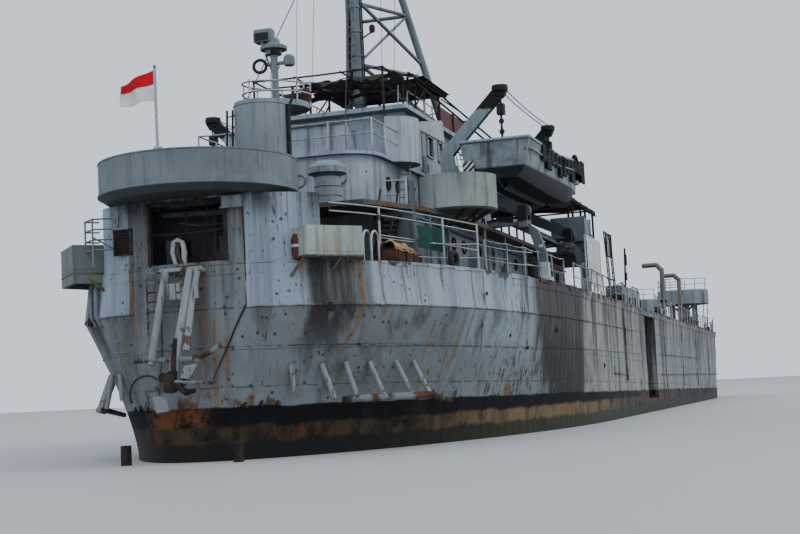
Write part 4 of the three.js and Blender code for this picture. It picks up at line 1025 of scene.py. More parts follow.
class SHIP_OT_deck(bpy.types.Operator):
    """The main deck with its hatch, and the rough plate edge around it"""

    bl_idname = "landing_ship.deck"
    bl_label = "Main deck"

    def execute(self, context):
        rows = [(s, -y) for s, y in stern_half(DECK, 14.0, 46)[4:]]
        rows += [(s, half_breadth(s, DECK)) for s in [14.6 + 0.7 * i for i in range(59)] if s < 55.8]
        ends, inner = HATCH["s"], HATCH["half"]
        before = rows + [(ends[0], HALF_BEAM)]
        after = [(s, half_breadth(s, DECK)) for s in (ends[1], 70.0, 77.0)]
        for i in range(25):
            s = BOW_CURVE + 16.6 * math.sin(math.pi / 2 * i / 24)
            after.append((s, half_breadth(s, DECK)))
        after.append((LENGTH, 0.35))

        def section(s, h):
            m = inner if h > 3.0 else h * 0.7
            low = [(s, y, SIDE_TOP) for y in (h, m, -m, -h)]
            return low + [(s, y, DECK) for y in (-h, -m, m, h)]

        form = Form()
        form.loft([section(*row) for row in before], caps=False)
        form.loft([section(*row) for row in after], caps=False)
        for sign in (-1, 1):
            form.loft([[(s, sign * y, z) for y, z in ((HALF_BEAM, SIDE_TOP), (HALF_BEAM, DECK), (inner, DECK),
                                                      (inner, SIDE_TOP))] for s in ends], caps=False)
        for s, h in ((ends[0], inner), (ends[1], inner), rows[0], after[-1]):
            form.patch([(s, y, z) for y, z in ((-h, SIDE_TOP), (h, SIDE_TOP), (h, DECK), (-h, DECK))],
                       [(0, 1, 2, 3)])
        outside = [(55.86, -2.74), (63.14, -2.74), (63.14, 2.74), (55.86, 2.74)]
        within = [(ends[0], -inner), (ends[1], -inner), (ends[1], inner), (ends[0], inner)]
        ring = [[(s, y, z) for s, y in plan] for plan, z in
                ((outside, 7.57), (outside, 8.22), (within, 8.22), (within, 7.57), (outside, 7.57))]
        form.loft(ring, caps=False)
        make("main_deck_plating", form, "deck", replaces=("main_deck",), sharp=20)

        chance = random.Random(context.scene.deck_look.seed)
        half = stern_half(DECK, 55.0, 90)[1:] + [(55.5 + 0.8 * i, -half_breadth(55.5 + 0.8 * i, DECK))
                                                 for i in range(54)]
        strake = Form()
        loops = []
        for i, (s, y) in enumerate(half):
            (s0, y0), (s1, y1) = half[max(i - 1, 0)], half[min(i + 1, len(half) - 1)]
            length = math.hypot(s1 - s0, y1 - y0) or 1.0
            out = ((y1 - y0) / length, (s0 - s1) / length)
            loops.append([(s + out[0] * d, y + out[1] * d, z) for d, z in
                          ((0.03, 7.34), (0.03, 7.5), (0.03, 7.672), (-0.02, 7.672), (-0.02, 7.34))])
        strake.loft(loops)
        both_sides("sheer_strake", strake, "hull", sharp=20)
        edge = Form()
        for a, b in zip(half, half[1:]):
            for sign in (1, -1):
                if chance.random() < 0.3 or a[0] < 4.2:
                    continue
                drop = 7.62 - chance.random() ** 3 * 0.12
                out = 0.035 + chance.random() * 0.02
                loops = []
                for s, y in (a, b):
                    loops.append([(s, sign * (y - out - 0.02), drop), (s, sign * (y - out - 0.02), 7.69),
                                  (s, sign * (y + 0.12), 7.69), (s, sign * (y + 0.12), 7.66),
                                  (s, sign * y, 7.6)])
                edge.loft(loops)
        make("gunwale_strake", edge, "hull")
        return {"FINISHED"}


# Stern house, tub and signal tower


def house_plan(inset):
    half = [(s + inset, y + inset * 1.3) for s, y in stern_half(DECK, 14.0, 70)[4:] if s < 2.8]
    edge = half_breadth(2.9, DECK) - inset * 1.5 - 0.05
    half += [(2.9, -edge), (5.2 - inset, -2.3 + inset)]
    return half + [(s, min(-y, 3.0)) for s, y in half[::-1]]


class SHIP_OT_stern_house(bpy.types.Operator):
    """The house under the stern tub with its torn opening, louvre and winch"""

    bl_idname = "landing_ship.stern_house"
    bl_label = "Stern house"

    def execute(self, context):
        wall = stern_station(FACET, DECK) + GAP
        form = Form()
        outer = [(wall, -1.24), *house_plan(GAP), (wall, 1.1)]
        inner = [(wall + 0.16, -1.24), *house_plan(0.15), (wall + 0.16, 1.1)]
        form.loft([[(s, y, z) for s, y in outer + inner[::-1]] for z in (DECK + GAP, 9.597)])
        form.box((wall, wall + 0.16), (-1.24, 1.1), (9.45, 9.597))
        form.box((wall, wall + 0.14), (-1.24, 1.1), (DECK + GAP, 7.74))
        form.slab(house_plan(0.1), 9.46, 9.59)
        make("stern_house_walls", form, "hull", replaces=("stern_house",), sharp=20)

        trim = Form()
        face = wall - 0.03
        trim.box((face, wall + 0.1), (-1.32, -1.22), (7.74, 9.5))
        trim.box((face, wall + 0.1), (1.08, 1.17), (7.74, 9.5))
        trim.box((face, wall + 0.1), (-1.3, 1.16), (9.42, 9.52))
        trim.tube([(wall + 0.1, 1.12, 8.62), (wall + 0.1, -0.1, 8.6), (wall + 0.08, -1.2, 8.64)], 0.035)
        trim.tube([(wall + 0.12, -0.03, 8.6), (wall + 0.12, 0.02, 9.46)], 0.03)
        trim.tube([(wall + 0.12, -0.6, 8.6), (wall + 0.16, -0.66, 9.46)], 0.02)
        torn = [(-1.24, 7.74), (-0.62, 7.74), (-0.7, 7.86), (-0.86, 7.83), (-0.98, 8.02), (-1.08, 7.98),
                (-1.12, 8.3), (-1.24, 8.38)]
        trim.cross_plate(torn, wall + 0.01, wall + 0.07)
        make("stern_opening_trim", trim, "dark", slot="rusty_steel", bevel=0.01)

        dark = Form()
        dark.box((3.0, 3.06), (-2.2, 2.2), (7.7, 9.44))
        dark.tube([(1.92, 0.36, 8.36), (1.9, 0.38, 8.1), (1.84, 0.3, 7.9), (1.8, 0.2, 7.74)],
                  [0.05, 0.07, 0.06, 0.05])
        for y in (-0.95, 0.72):
            dark.box((2.1, 2.5), (y - 0.12, y + 0.12), (7.69, 8.5))
        dark.tube([(2.3, -1.1, 9.2), (2.3, 1.0, 9.25)], 0.09)
        dark.tube([(2.6, -0.5, 7.7), (2.6, -0.5, 9.4)], 0.08)
        dark.tube([(2.5, -0.9, 8.9), (2.2, -0.2, 8.86), (2.3, 0.5, 9.0)], 0.04)
        make("stern_house_gear", dark, "inside", bevel=0.01)

        head = Form()
        head.tube([(1.9, 0.16, 7.69), (1.9, 0.15, 8.1), (1.9, 0.22, 8.38), (1.9, 0.36, 8.45),
                   (1.9, 0.5, 8.38), (1.9, 0.54, 8.1), (1.9, 0.42, 7.69)],
                  [0.06, 0.07, 0.075, 0.08, 0.075, 0.07, 0.06], 10)
        head.box((1.86, 1.98), (0.14, 0.24), (7.7, 8.3))
        make("winch_warping_head", head, "white", bevel=0.008)
        finish_nodes("dark", ["stern_winch"], 0.02)

        vent = Form()
        base = stern_station(2.0, DECK) - 0.02
        vent.box((base - 0.05, base + 0.2), (1.68, 2.23), (8.15, 8.82))
        make("louvre_box", vent, "dark", bevel=0.01)
        slats = Form()
        for i in range(8):
            z = 8.2 + i * 0.073
            slats.cross_plate([(1.7, z), (2.21, z), (2.21, z + 0.02), (1.7, z + 0.02)], base - 0.1,
                              base - 0.04)
        for y, z in (((1.64, 1.7), (8.11, 8.86)), ((2.21, 2.27), (8.11, 8.86)),
                     ((1.64, 2.27), (8.8, 8.86)), ((1.64, 2.27), (8.11, 8.16))):
            slats.box((base - 0.09, base - 0.03), y, z)
        make("louvre_slats", slats, "dark")

        lamp = Form()
        lamp.box((wall - 0.22, wall + 0.02), (-1.8, -1.24), (9.2, 9.53))
        lamp.box((wall - 0.26, wall - 0.2), (-1.86, -1.2), (9.16, 9.22))
        make("stern_lamp_box", lamp, "house", bevel=0.02)
        return {"FINISHED"}


class SHIP_OT_stern_tub(bpy.types.Operator):
    """The round tub over the stern with its worn rim"""

    bl_idname = "landing_ship.stern_tub"
    bl_label = "Stern tub"

    def execute(self, context):
        s, y, r, low, top = TUB["s"] + 0.05, 0.09, TUB["r"] * 1.03, TUB["floor"], TUB["top"]
        form = Form()
        form.turned([(0.0, low), (r - 0.25, low), (r - 0.02, low + 0.16), (r, low + 0.2), (r, top - 0.05),
                     (r + 0.015, top - 0.04), (r + 0.015, top), (r - 0.12, top), (r - 0.12, low + 0.14),
                     (0.0, low + 0.14)], s, y, 96)
        make("stern_tub_shell", form, "tub", replaces=("aft_gun_tub",), sharp=26)
        trim = Form()
        trim.turned([(r + 0.012, low + 0.17), (r + 0.03, low + 0.18), (r + 0.03, low + 0.23),
                     (r + 0.012, low + 0.24)], s, y, 96, ring=True)
        for turn in (2.3, 3.05, 3.7, 4.25, 4.9):
            x, w = around(s, y, r + 0.002, turn)
            trim.tube([(x, w, low + 0.22), (x, w, top)], 0.01, 6)
        make("stern_tub_seams", trim, "tub")
        seat = Form()
        seat.turned([(0.0, low + 0.142), (0.5, low + 0.142), (0.46, low + 0.3), (0.3, low + 0.34),
                     (0.0, low + 0.34)], 2.6, 0.35, 28)
        make("tub_gun_seat", seat, "rust")
        return {"FINISHED"}


class SHIP_OT_signal_tower(bpy.types.Operator):
    """The round signal tower, its platform with ring rails, and the lantern pole"""

    bl_idname = "landing_ship.signal_tower"
    bl_label = "Signal tower"

    def execute(self, context):
        s, y, r, wall, foot, top = 3.515, -1.7, 0.82, 0.08, 9.743, SIGNAL_TOP
        form = Form()
        gap = 0.42
        arcs = [[around(s, y, radius, gap + (2 * math.pi - 2 * gap) * i / 44) for i in range(45)]
                for radius in (r, r - wall)]
        form.loft([[(a, b, z) for a, b in arcs[0] + arcs[1][::-1]] for z in (foot, top)])
        form.drum(s, y, r, top - 0.02, top + 0.08, 44)
        form.drum(*SIGNAL_DECK, 0.95, top, top + 0.1, 44)
        make("signal_tower", form, "house", replaces=("aft_screen",), sharp=26)
        seams = Form()
        for z in (foot + 0.04, top - 0.05):
            seams.turned([(r, z), (r + 0.02, z + 0.01), (r + 0.02, z + 0.05), (r, z + 0.06)], s, y, 44,
                         ring=True)
        seams.turned([(0.93, top - 0.06), (0.97, top - 0.05), (0.97, top + 0.12), (0.93, top + 0.13)],
                     *SIGNAL_DECK, 44, ring=True)
        make("signal_tower_bands", seams, "house")

        pole = Form()
        ps, py, low = 4.0, -1.95, 12.503
        pole.turned([(0.0, low), (0.2, low), (0.2, low + 0.06), (0.12, low + 0.1), (0.11, 13.9), (0.13, 14.0),
                     (0.24, 14.02), (0.25, 14.14), (0.4, 14.16), (0.41, 14.26), (0.3, 14.32), (0.2, 14.36),
                     (0.17, 14.5), (0.0, 14.52)], ps, py, 24)
        pole.turned([(0.0, 13.62), (0.15, 13.64), (0.18, 13.72), (0.17, 13.9), (0.1, 13.97), (0.0, 13.98)],
                    ps, py - 0.48, 18)
        pole.tube([(ps, py - 0.5, 13.75), (ps, py + 0.25, 13.75)], 0.06)
        pole.side_plate([(ps - 0.2, 14.42), (ps + 0.2, 14.42), (ps + 0.2, 14.72), (ps + 0.12, 14.82),
                         (ps - 0.15, 14.82), (ps - 0.22, 14.66)], py + 0.02, py + 0.56)
        pole.tube([(ps - 0.08, py + 0.3, 14.2), (ps - 0.08, py + 0.32, 14.44)], 0.07)
        pole.tube([(ps + 0.16, py + 0.1, low), (ps + 0.16, py + 0.12, 13.5), (ps + 0.05, py + 0.3, 14.1)],
                  0.03)
        pole.tube([(ps - 0.16, py - 0.05, low), (ps - 0.2, py - 0.02, 13.2), (ps - 0.12, py - 0.25, 13.7)],
                  0.022)
        make("signal_lantern_pole", pole, "mast", replaces=("signal_pole",), bevel=0.012)
        dark = Form()
        dark.wheel((ps - 0.1, py + 0.42, 13.7), (1, 0.2, 0), 0.24, 0.14, 0.08)
        dark.drum(ps - 0.14, py - 0.1, 0.15, 14.02, 14.18, 16)
        dark.side_plate([(ps - 0.24, 14.46), (ps - 0.2, 14.46), (ps - 0.2, 14.7), (ps - 0.24, 14.66)],
                        py + 0.08, py + 0.5)
        dark.tube([(3.4, -2.56, 10.3), (3.4, -2.58, 12.3)], 0.07)
        dark.tube([(3.4, -2.58, 12.25), (3.5, -2.7, 12.6), (3.6, -2.66, 12.9)], 0.05)
        for w in (-1.0, -0.82):
            dark.tube([(2.9, w, 11.1), (2.92, w - 0.03, 12.25)], 0.035, 6)
        dark.tube([(2.92, -0.85, 12.05), (3.1, -1.15, 12.15)], 0.02, 6)
        make("signal_dark_gear", dark, "black")

        rails = Form()
        for z, lift in ((13.12, 0.1), (12.8, 0.06)):
            ring = []
            for i in range(37):
                turn = 2 * math.pi * i / 36
                ring.append((*around(*SIGNAL_DECK, 1.02, turn), z + lift * math.sin(turn + 0.6)))
            rails.tube(ring, 0.028, 6)
        for i in range(8):
            turn = 2 * math.pi * (i + 0.3) / 8
            x, w = around(*SIGNAL_DECK, 1.0, turn)
            rails.tube([(x, w, 12.4), (x + 0.03, w, 13.2 + 0.06 * math.sin(i * 2.1))], 0.026, 6)
        make("signal_platform_rails", rails, "white")
        lamp = Form()
        lamp.turned([(0.0, 12.5), (0.1, 12.5), (0.16, 12.62), (0.16, 12.86), (0.06, 12.98), (0.0, 13.0)],
                    4.3, -2.8, 18)
        make("signal_platform_lamp", lamp, "rust")
        return {"FINISHED"}


class SHIP_OT_stage(bpy.types.Operator):
    """The pale floor at the waterline, soft light and the camera of the photograph"""

    bl_idname = "landing_ship.stage"
    bl_label = "Stage"

    def execute(self, context):
        look = context.scene.stage_look
        mesh = bpy.data.meshes.new("floor")
        far = FLOOR_REACH
        mesh.from_pydata([(-far, -far, 0), (far, -far, 0), (far, far, 0), (-far, far, 0)], [], [(0, 1, 2, 3)])
        floor = bpy.data.objects.new("floor", mesh)
        floor.location.z = look.waterline
        finish = bpy.data.materials.new("pale_floor")
        finish.use_nodes = True
        surface = finish.node_tree.nodes["Principled BSDF"]
        surface.inputs["Base Color"].default_value = (*look.floor, 1.0)
        surface.inputs["Roughness"].default_value = 0.7
        mesh.materials.append(finish)
        context.scene.collection.objects.link(floor)

        world = context.scene.world or bpy.data.worlds.new("soft_sky")
        context.scene.world = world
        world.use_nodes = True
        sky = world.node_tree.nodes["Background"]
        sky.inputs["Color"].default_value = SKY_COLOUR
        sky.inputs["Strength"].default_value = look.sky
        for name, place, aim, size, power in LAMPS:
            lamp = bpy.data.lights.new(name, "AREA")
            lamp.energy = power
            lamp.size = size
            lamp.color = LAMP_COLOUR
            held = bpy.data.objects.new(name, lamp)
            held.location = place
            held.rotation_euler = (Vector(aim) - Vector(place)).to_track_quat("-Z", "Y").to_euler()
            context.scene.collection.objects.link(held)

        yaw, pitch, roll = (math.radians(a) for a in CAMERA_TURNS)
        ahead = Vector((math.cos(yaw) * math.cos(pitch), math.sin(yaw) * math.cos(pitch), math.sin(pitch)))
        right = Vector((math.sin(yaw), -math.cos(yaw), 0))
        above = right.cross(ahead)
        across = right * math.cos(roll) + above * math.sin(roll)
        upward = above * math.cos(roll) - right * math.sin(roll)
        view = bpy.data.cameras.new("quarter_view")
        view.lens = look.lens
        view.sensor_width = SENSOR_WIDTH
        view.clip_end = 400.0
        held = bpy.data.objects.new("quarter_view", view)
        turned = Matrix((across, upward, -ahead)).transposed().to_4x4()
        held.matrix_world = Matrix.Translation(CAMERA_PLACE) @ turned
        context.scene.collection.objects.link(held)
        context.scene.camera = held
        return {"FINISHED"}


# Cloth, rails and small fittings that several pieces share


def cloth(name, grid, finish, kept=lambda row, column: True, body="root", replaces=(),
          slot=None):
    """A thin sheet over a grid of points, with the holes torn in it."""
    rows, columns = len(grid), len(grid[0])
    form = Form()
    faces = [(r * columns + c, r * columns + c + 1, (r + 1) * columns + c + 1, (r + 1) * columns + c)
             for r in range(rows - 1) for c in range(columns - 1) if kept(r, c)]
    form.patch([p for row in grid for p in row], faces)
    area = 0.0
    for face in form.faces:
        a, b, c, d = (form.points[i] for i in face)
        area += ((b - a).cross(c - a).length + (c - a).cross(d - a).length) / 2
    wide = sum(sum(math.dist(a, b) for a, b in zip(row, row[1:])) for row in grid) / rows * REAL
    long = sum(sum(math.dist(grid[r][c], grid[r + 1][c]) for r in range(rows - 1))
               for c in range(columns)) / columns * REAL
    used = sorted({i for face in form.faces for i in face})
    place = {old: new for new, old in enumerate(used)}
    form.points = [form.points[i] for i in used]
    form.faces = [[place[i] for i in face] for face in form.faces]
    piece = make(name, form, finish, body=body, replaces=replaces, slot=slot, sharp=80)
    thick = piece.modifiers.new("cloth thickness", "SOLIDIFY")
    thick.thickness = CLOTH_THICKNESS
    min(area, wide * long)
    return piece


def rail_run(form, path, height, radius, chance, wires=(0.5,), gap=1.6, broken=0.0, sag=0.02):
    """Posts and rails along a path of feet; some of the posts lean and some rails are gone."""
    spots = []
    for a, b in zip(path, path[1:]):
        steps = max(1, round(math.dist(a, b) / gap))
        spots += [tuple(p + (q - p) * k / steps for p, q in zip(a, b)) for k in range(steps)]
    spots.append(tuple(path[-1]))
    tops = []
    for s, y, z in spots:
        lean = [chance.uniform(-0.05, 0.05) * (4 if chance.random() < broken else 1) for _ in range(2)]
        top = (s + lean[0], y + lean[1], z + height * (1 if chance.random() > broken else 0.75))
        form.tube([(s, y, z - 0.02), top], radius * 1.15, 6)
        tops.append((top, (s, y, z)))
    for (top_a, foot_a), (top_b, foot_b) in zip(tops, tops[1:]):
        for share in (1.0, *wires):
            if chance.random() < broken * 1.2:
                continue
            ends = [tuple(f + (t - f) * share for f, t in zip(foot, top))
                    for foot, top in ((foot_a, top_a), (foot_b, top_b))]
            form.tube(sagging(*ends, sag, 4), radius * (1.0 if share == 1.0 else 0.7), 6)


def ladder(form, foot, top, across, rung=0.3, wide=0.19, radius=0.022):
    """Two stringers and their rungs; across is the way the rungs run, as (s, y)."""
    sides = [[(p[0] + k * across[0] * wide, p[1] + k * across[1] * wide, p[2]) for p in (foot, top)]
             for k in (-1, 1)]
    for side in sides:
        form.tube(side, radius, 6)
    count = max(2, round(math.dist(foot, top) / rung))
    for i in range(1, count):
        a, b = (tuple(p + (q - p) * i / count for p, q in zip(*side)) for side in sides)
        form.tube([a, b], radius * 0.8, 6)


def porthole(form, s, y, z, out, r=0.2):
    """A round scuttle's frame on a wall whose outside is towards out."""
    form.wheel((s, y + 0.02 * out, z), (0, 1, 0), r + 0.05, r - 0.02, 0.09, 18)


def door(form, s0, s1, y, z0, z1, out):
    """A steel door standing proud of its wall, with hinges and dogs."""
    form.box((s0, s1), sorted((y, y + 0.05 * out)), (z0, z1))
    form.box((s0 + 0.06, s1 - 0.06), sorted((y + 0.04 * out, y + 0.08 * out)), (z0 + 0.08, z1 - 0.08))
    for z in (z0 + 0.35, (z0 + z1) / 2, z1 - 0.35):
        form.box((s0 - 0.03, s0 + 0.1), sorted((y + 0.05 * out, y + 0.11 * out)), (z - 0.05, z + 0.05))
        form.tube([(s1 - 0.02, y + 0.1 * out, z - 0.05), (s1 - 0.14, y + 0.12 * out, z + 0.06)], 0.018, 6)


class SHIP_OT_stern_gear(bpy.types.Operator):
    """The stern anchor, the legs that guide it, the ladder and the chain"""

    bl_idname = "landing_ship.stern_gear"
    bl_label = "Stern anchor gear"

    def execute(self, context):
        wall = stern_station(FACET, DECK)
        legs = Form()
        legs.tube([(1.2, 0.42, 7.5), (1.02, 0.56, 6.4), (0.8, 0.75, 4.9)], 0.105, 10)
        legs.tube([(1.2, -0.55, 7.5), (1.04, -0.42, 6.6), (0.86, -0.3, 5.25)], 0.1, 10)
        legs.box((1.06, 1.14), (-0.62, 0.5), (6.68, 7.14))
        legs.tube([(1.0, -0.42, 7.5), (0.9, -0.2, 6.2), (0.74, 0.04, 4.7)], [0.09, 0.11, 0.13], 10)
        legs.tube([(1.2, 0.58, 7.52), (1.2, -0.7, 7.52)], 0.07, 10)
        for y in (0.42, -0.55):
            legs.tube([(1.2, y, 7.5), (wall - 0.01, y, 7.5)], 0.08, 8)
        make("anchor_guide_legs", legs, "worn", replaces=("anchor_guide",), bevel=0.01)
        worn = Form()
        for i in range(9):
            z = 7.45 - i * 0.13
            worn.wheel((1.02, -0.22 + 0.07 * math.sin(i * 2.0), z), (0.3 * (i % 2), 1, 0.2), 0.1, 0.035,
                       0.05, 12)
        worn.box((0.95, 1.15), (-0.4, -0.12), (6.75, 7.3))
        make("anchor_chain_and_leg", worn, "scaled", bevel=0.012)

        bar = Form()
        bar.tube([(0.78, 1.22, 5.05), (0.78, 0.4, 5.03), (0.78, -0.68, 5.01), (0.76, -1.05, 5.16),
                  (0.74, -1.42, 5.36)], [0.08, 0.07, 0.075, 0.07, 0.09], 12)
        bar.tube([(0.66, 0.3, 4.44), (0.66, -1.18, 4.33)], 0.05, 8)
        bar.drum(0.78, -0.72, 0.14, 4.94, 5.12, 12)
        make("anchor_stock", bar, "scaled")
        anchor = Form()
        anchor.tube([(0.7, -0.06, 5.6), (0.7, 0.0, 4.9), (0.7, 0.06, 4.3)], [0.06, 0.09, 0.12], 10)
        anchor.turned([(0.0, 4.1), (0.16, 4.12), (0.22, 4.24), (0.2, 4.46), (0.13, 4.66), (0.0, 4.72)],
                      0.72, 0.14, 16)
        anchor.tube([(0.72, 0.42, 4.62), (0.7, 0.2, 4.36), (0.72, -0.14, 4.3), (0.72, -0.4, 4.5)],
                    [0.09, 0.12, 0.12, 0.08], 10)
        anchor.tube([(0.72, -0.1, 4.28), (0.7, -0.36, 4.1), (0.74, -0.6, 4.16)], [0.1, 0.09, 0.06], 10)
        make("stern_anchor_body", anchor, "dark", replaces=("stern_anchor",))
        palms = Form()
        sides = [(0, 1, 2, 3), (7, 6, 5, 4), (0, 4, 5, 1), (1, 5, 6, 2), (2, 6, 7, 3), (3, 7, 4, 0)]
        palms.patch([(0.84, 0.36, 4.07), (0.9, 0.3, 3.6), (0.96, 0.72, 3.56), (0.88, 0.78, 4.03),
                     (0.9, 0.36, 4.07), (0.96, 0.3, 3.6), (1.02, 0.72, 3.56), (0.94, 0.78, 4.03)],
                    sides)
        palms.patch([(0.6, -0.22, 4.5), (0.6, -0.5, 4.44), (0.58, -0.76, 4.88), (0.58, -0.35, 4.83),
                     (0.66, -0.22, 4.5), (0.66, -0.5, 4.44), (0.64, -0.76, 4.88), (0.64, -0.35, 4.83)],
                    sides)
        make("anchor_palms", palms, "worn", bevel=0.02)

        wires = Form()
        wires.tube(rise_curve([(0.7, 0.4, 4.45), (0.7, 0.8, 4.62), (0.8, 1.25, 4.5), (0.95, 1.5, 4.2),
                               (1.25, 1.62, 3.9)], 5), 0.035, 6)
        wires.tube(rise_curve([(1.4, 0.66, 7.3), (1.42, 0.7, 6.2), (1.42, 0.72, 5.2), (1.4, 0.8, 4.4),
                               (1.5, 0.9, 3.7)], 5), 0.02, 6)
        make("stern_wires", wires, "wire")
        rungs = Form()
        for i in range(9):
            z = 7.5 - i * 0.27
            rungs.tube([(1.5, 1.1, z), (1.32, 1.08, z), (1.32, 0.74, z), (1.5, 0.72, z)], 0.024, 6)
        rungs.tube([(1.38, 1.12, 7.6), (1.38, 1.1, 5.25)], 0.026, 6)
        make("stern_ladder", rungs, "scaled")
        return {"FINISHED"}


class SHIP_OT_guards(bpy.types.Operator):
    """The bars and struts that guard the propellers, some of them broken"""

    bl_idname = "landing_ship.guards"
    bl_label = "Propeller guards"

    def execute(self, context):
        rail = [(3.6, 3.7), (3.98, 3.72), (4.78, 3.72), (5.79, 3.72), (6.54, 3.72), (8.2, 3.5)]

        def spot(s, z, out=None):
            reach = mix(0.78, 0.98, min(1.0, (s - 3.6) / 1.6)) if s < 8.0 else 0.6
            return (s, -half_breadth(s, z) - (reach if out is None else out), z)

        bars, struts = Form(), Form()
        bars.tube([spot(s, z + 0.02 * math.sin(s * 7)) for s, z in rail], [0.1, 0.11, 0.1, 0.11, 0.1, 0.08],
                  12)
        for s in (3.98, 4.78, 5.79, 6.54):
            struts.tube([spot(s, 4.78, 0.0), spot(s, 3.72)], [0.07, 0.075], 10)
        for s, end in ((2.54, spot(2.66, 3.98, 0.3)), (3.26, spot(3.4, 3.77, 0.7))):
            top = (s, -half_breadth(s, 4.74) - 0.06, 4.76)
            struts.tube([top, tuple((a + b) / 2 for a, b in zip(top, end)), end], [0.07, 0.08, 0.07], 10)
        both_sides("guard_bar", bars, "scaled", replaces=("propeller_guard_{side}",))
        both_sides("guard_struts", struts, "worn")
        return {"FINISHED"}


class SHIP_OT_hull_fittings(bpy.types.Operator):
    """Seams, discharges, rubbing strips and the quarter platforms on the shell"""

    bl_idname = "landing_ship.hull_fittings"
    bl_label = "Hull fittings"

    def execute(self, context):
        chance = random.Random(context.scene.deck_look.seed + 1)
        crease = Form()
        face = stern_station(1.8, 8.0) - 0.015
        crease.tube([(face, -1.78, 9.25), (face, -1.8, 8.2), (face + 0.01, -1.8, 7.2), (face, -1.8, 6.45)],
                    0.02, 6)
        low = [(stern_station(y, z) - 0.01, -y, z)
               for y, z in ((1.8, 6.45), (1.5, 5.9), (1.2, 5.29), (0.7, 4.3))]
        crease.tube(low, [0.03, 0.028, 0.022, 0.015], 6)
        make("stern_crease_weld", crease, "dark")

        ridges = Form()
        for z, radius in ((6.4, 0.028), (5.25, 0.02)):
            path = [(s, y - 0.005, z) for s, y in stern_half(z, 26.0, 70)[5:]]
            path += [(s, -HALF_BEAM - 0.002, z) for s in range(27, 40, 3)]
            ridges.tube(path, radius, 6)
        both_sides("shell_seams", ridges, "hull")

        holes = Form()
        for s, z, r in ((2.27, 3.72, 0.1), (1.98, 3.68, 0.1), (8.2, 3.75, 0.18), (2.6, 3.7, 0.09),
                        (12.2, 5.6, 0.07), (14.1, 5.2, 0.07), (10.0, 6.9, 0.06), (17.4, 5.9, 0.12),
                        (26.5, 4.6, 0.12)):
            y = -half_breadth(s, z)
            holes.wheel((s, y - 0.005, z), (0.5 if s < 4 else 0.1, 1, 0), r, r * 0.4, 0.06, 14)
            # The black plug in each discharge stands in for the shade inside its pipe (painted shade).
            holes.tube([(s, y + 0.1, z), (s, y - 0.012, z)], r * 0.75, 12)
        y = -half_breadth(2.95, 6.35)
        holes.box((2.84, 3.06), (y - 0.02, y + 0.1), (6.22, 6.46))
        both_sides("hull_discharges", holes, "black")

        strips = Form()
        out = -HALF_BEAM
        strips.box((29.3, 33.4), (out - 0.05, out + 0.02), (4.2, 4.28))
        for s in (29.3, 33.3):
            strips.box((s, s + 0.12), (out - 0.04, out + 0.02), (4.2, 4.6))
        strips.tube([(33.0, out - 0.04, 7.3), (33.0, out - 0.05, 5.6), (33.02, out - 0.04, 3.9)], 0.05, 8)
        strips.tube([(9.75, -half_breadth(9.75, 6.8) - 0.04, 6.9),
                     (9.75, -half_breadth(9.75, 5.6) - 0.04, 5.0)], 0.035, 6)
        strips.box((46.4, 86.0), (out - 0.04, out + 0.02), (4.14, 4.2))
        strips.box((46.4, 70.0), (out - 0.03, out + 0.02), (5.3, 5.35))
        for s in (49.0, 58.5, 68.0, 77.5):
            strips.box((s, s + 0.08), (out - 0.03, out + 0.02), (3.4, 7.3))
        both_sides("side_strips", strips, "scaled")

        plan = [(2.35, -2.9), (1.66, -3.63), (3.0, -4.82), (4.0, -4.48)]
        hull_edge = [(s, y) for s, y in stern_half(DECK, 14.0, 60)[5:] if 2.36 < s < 3.99]
        box, skirt = Form(), Form()
        box.slab(plan + [(s, y - 0.02) for s, y in hull_edge[::-1]], 7.72, 7.84)
        inner = [(2.46, -3.02), (1.82, -3.63), (3.0, -4.67), (3.9, -4.4)]
        for (a, b), (c, d) in zip(zip(plan, plan[1:]), zip(inner, inner[1:])):
            box.slab([a, b, d, c], 7.8, 8.55)
            skirt.slab([(s, -y) for s, y in (a, b, d, c)], 7.42, 7.73)
        both_sides("quarter_bin", box, "platform", replaces=("quarter_platform_{side}",), bevel=0.012)
        make("port_bin_skirt", skirt, "platform")
        lip = Form()
        for a, b in zip(plan, plan[1:]):
            for k in range(7):
                p, q = (tuple(m + (n - m) * t for m, n in zip(a, b)) for t in (k / 7, (k + 1) / 7))
                drop = 7.71 - chance.random() * 0.025
                lip.tube([(*p, 7.72), ((p[0] + q[0]) / 2, (p[1] + q[1]) / 2, drop), (*q, 7.72)], 0.022, 6)
        for s, y in ((1.9, -3.5), (2.9, -4.2), (3.7, -4.1)):
            lip.tube([(s, y, 7.72), (s + 0.5, y + 0.9, 6.9)], 0.045, 6)
        both_sides("quarter_bin_edges", lip, "lip")

        fender = Form()
        fender.turned([(0.0, 7.62), (0.17, 7.66), (0.22, 7.8), (0.23, 8.2), (0.17, 8.36), (0.0, 8.4)], 2.2,
                      -3.22, 18)
        make("quarter_fender", fender, "redbrown")
        band = Form()
        band.turned([(0.232, 7.98), (0.245, 8.0), (0.245, 8.05), (0.232, 8.07)], 2.2, -3.22, 18, ring=True)
        make("quarter_fender_band", band, "white")

